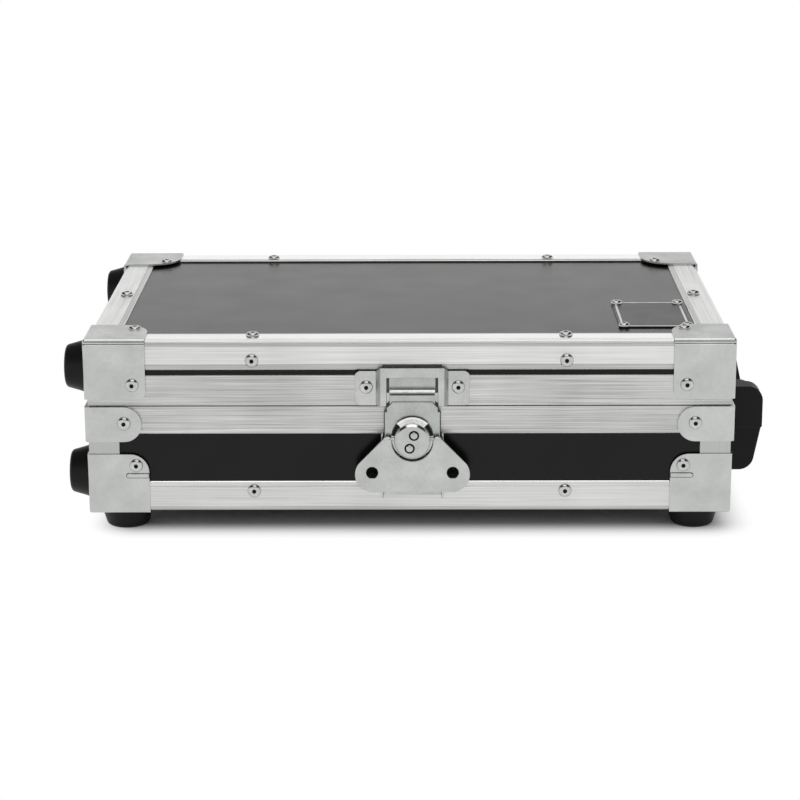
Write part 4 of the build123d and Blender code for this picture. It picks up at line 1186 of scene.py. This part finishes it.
keeperLook = {
    "window": (13.65, 15.3, 9.0, 17.9),  # strips of painted shade at the window's ends, for their shaded inner folds: from, to, low and high
    "windowDepth": (1.35, 2.25),
    "sheet": (15.0, 0.02, 0.15),  # painted shade on the plate seen through the window: half width and depths
    "notch": (17.7, 23.7, 25.3),  # half width, low and high of the painted shade over the bridge
    "notchRound": (0.2, 0.6),
    "notchDepth": (-0.2, 0.06),
    "soft": (0.1, 0.03, 0.05),  # edges of the folds, the sheet and the gap
    "slant": (0.3, 0.95),  # how far sideways the faces of the folds look that get the painted shade
}


def makeKeeper(look):
    keeper = dressed("latch_keeper", "lid", latchZinc, bevel=0.45)
    keeper.data.materials.append(foldShadeZinc)
    least, most = look["slant"]
    # Faces of the folds that look sideways get the painted shade
    for face in keeper.data.polygons:
        if least < abs(face.normal.x) < most:
            face.material_index = 1
    bm = bmesh.new()
    place = onFront(baseRim)
    foldSoft, sheetSoft, gapSoft = look["soft"]
    # Painted shade: dark strips at the window's ends, a greyer sheet seen through it and a dark gap over the
    # bridge
    start, end, low, high = look["window"]
    for sign in (-1, 1):
        strip = [Vector((sign * x, y)) for x, y in ((start, low), (end, low), (end, high), (start, high))]
        addPlate(bm, strip, [], *look["windowDepth"], foldSoft, place)
    half, near, far = look["sheet"]
    addPlate(bm, rectangle(half, low, high), [], near, far, sheetSoft, place, steps=1, material=1)
    half, low, high = look["notch"]
    under, over = look["notchRound"]
    notch = rounded([(half, low, under), (half, high, over), (-half, high, over), (-half, low, under)])
    addPlate(bm, notch, [], *look["notchDepth"], gapSoft, place)
    makePiece("latch_keeper_painted_shade", bm, "lid", [paintedShadeSteel, greyZincAndShade], [])


makeCam(camLook)
makeCamRivets(camLook)
makeLink(linkLook)
makeWing(wingLook)
makeKeeper(keeperLook)
basePlate = dressed("latch_base_plate", "base", latchZinc, bevel=0.3)
basePlate.data.materials.append(paintedShadeSteel)
shadedBelow = latchZ + wingLook["lobe"][1]  # its stubs stick out from under the wing, where they get painted shade
for face in basePlate.data.polygons:
    if face.center.z < shadedBelow * mm:
        face.material_index = 1
dressed("latch_plate_rivets", "base", latchZinc, bevel=0.2)
dressed("latch_wing_pin", "latch_cam", screwSteel, bevel=0.2)
print("latch made")

# Hinges and handle
dressed("hinge_base_leaves", "base", zincPlate, bevel=0.25)
dressed("hinge_lid_leaves", "lid", zincPlate, bevel=0.25)
dressed("hinge_pins", "base", screwSteel, bevel=0.3)
dressed("handle_mount_front", "base", handlePlastic, bevel=1.8)
dressed("handle_mount_rear", "base", handlePlastic, bevel=1.8)
dressed("handle_pivot_pins", "base", screwSteel, bevel=0.3)
dressed("handle_grip", "handle", handlePlastic, bevel=1.4)
screwBm = bmesh.new()
for place, length in placesOf("handle_screws", 0, narrowFirst=True):
    addScrew(screwBm, place, length, handleScrew)
makePiece("handle_screws_cross", screwBm, "base", [screwSteel], ["handle_screws"])
print("hinges and handle made")

# Plate on the lid, left bare but for its border line
plateLook = {
    "cornerRound": 3.0, "leastRound": 0.5, "edge": 0.25,
    "line": (1.6, 2.9), "lineHeight": (-0.1, 0.05), "lineSoft": 0.04,  # distances from the edge and the top
}


def makeNamePlate(look):
    low, high = boxOf("name_plate")

    def border(shrink):
        ends = [(low.x + shrink, high.x - shrink), (low.y + shrink, high.y - shrink)]
        corners = [(ends[0][i], ends[1][j]) for i, j in ((0, 0), (1, 0), (1, 1), (0, 1))]
        return rounded([(x, y, max(look["leastRound"], look["cornerRound"] - shrink)) for x, y in corners])

    bm = bmesh.new()
    addPlate(bm, border(0), [], low.z, high.z, look["edge"], Matrix.Identity(4))
    makePiece("name_plate_blank", bm, "lid", [plateBlack], ["name_plate"])
    outer, inner = [border(shrink) for shrink in look["line"]]
    bm = bmesh.new()
    root, proud = [high.z + level for level in look["lineHeight"]]
    addPlate(bm, outer, [inner], root, proud, look["lineSoft"], Matrix.Identity(4), steps=1)
    makePiece("name_plate_line", bm, "lid", [plateBare], [])


makeNamePlate(plateLook)


# Foam lining: cut blocks with soft edges and slightly uneven faces
foamLook = {
    "edgeRound": 2.6, "edgeSteps": 3, "cell": 14,
    "uneven": 0.22, "unevenSize": 40, "sink": 0.6,  # sink: the share of it by which all faces lie lower
}


def addFoamBlock(bm, low, high, look):
    radius = look["edgeRound"]
    ticks = []
    for axis in range(3):
        start, end = low[axis] + radius, high[axis] - radius
        count = max(1, round((end - start) / look["cell"]))
        inside = [start + (end - start) * k / count for k in range(count + 1)]
        bend = [radius * (1 - tan(pi / 4 * k / look["edgeSteps"])) for k in range(look["edgeSteps"], 0, -1)]
        ticks.append([low[axis] + b for b in bend] + inside + [high[axis] - b for b in reversed(bend)])
    made = {}
    core = [(low[i] + radius, high[i] - radius) for i in range(3)]

    def corner(*point):
        key = tuple(round(c, 3) for c in point)
        if key not in made:
            here = Vector(point)
            heart = Vector([min(max(here[i], core[i][0]), core[i][1]) for i in range(3)])
            away = (here - heart).normalized()
            lump = (noise.noise(here / look["unevenSize"]) - look["sink"]) * look["uneven"]
            made[key] = bm.verts.new(heart + away * (radius + lump))
        return made[key]

    for axis in range(3):
        first, second = [i for i in range(3) if i != axis]
        for level in (ticks[axis][0], ticks[axis][-1]):
            for a, b in zip(ticks[first], ticks[first][1:]):
                for c, d in zip(ticks[second], ticks[second][1:]):
                    quad = []
                    for u, v in ((a, c), (b, c), (b, d), (a, d)):
                        point = [0, 0, 0]
                        point[axis], point[first], point[second] = level, u, v
                        quad.append(corner(*point))
                    bm.faces.new(quad)


for node, body in (("base_foam_bed", "base"), ("base_foam_walls", "base"), ("lid_foam", "lid")):
    bm = bmesh.new()
    for low, high, _ in solidsOf(node):
        addFoamBlock(bm, low, high, foamLook)
    piece = makePiece(f"{node}_cut", bm, body, [foam], [node])
print("plate and foam made")
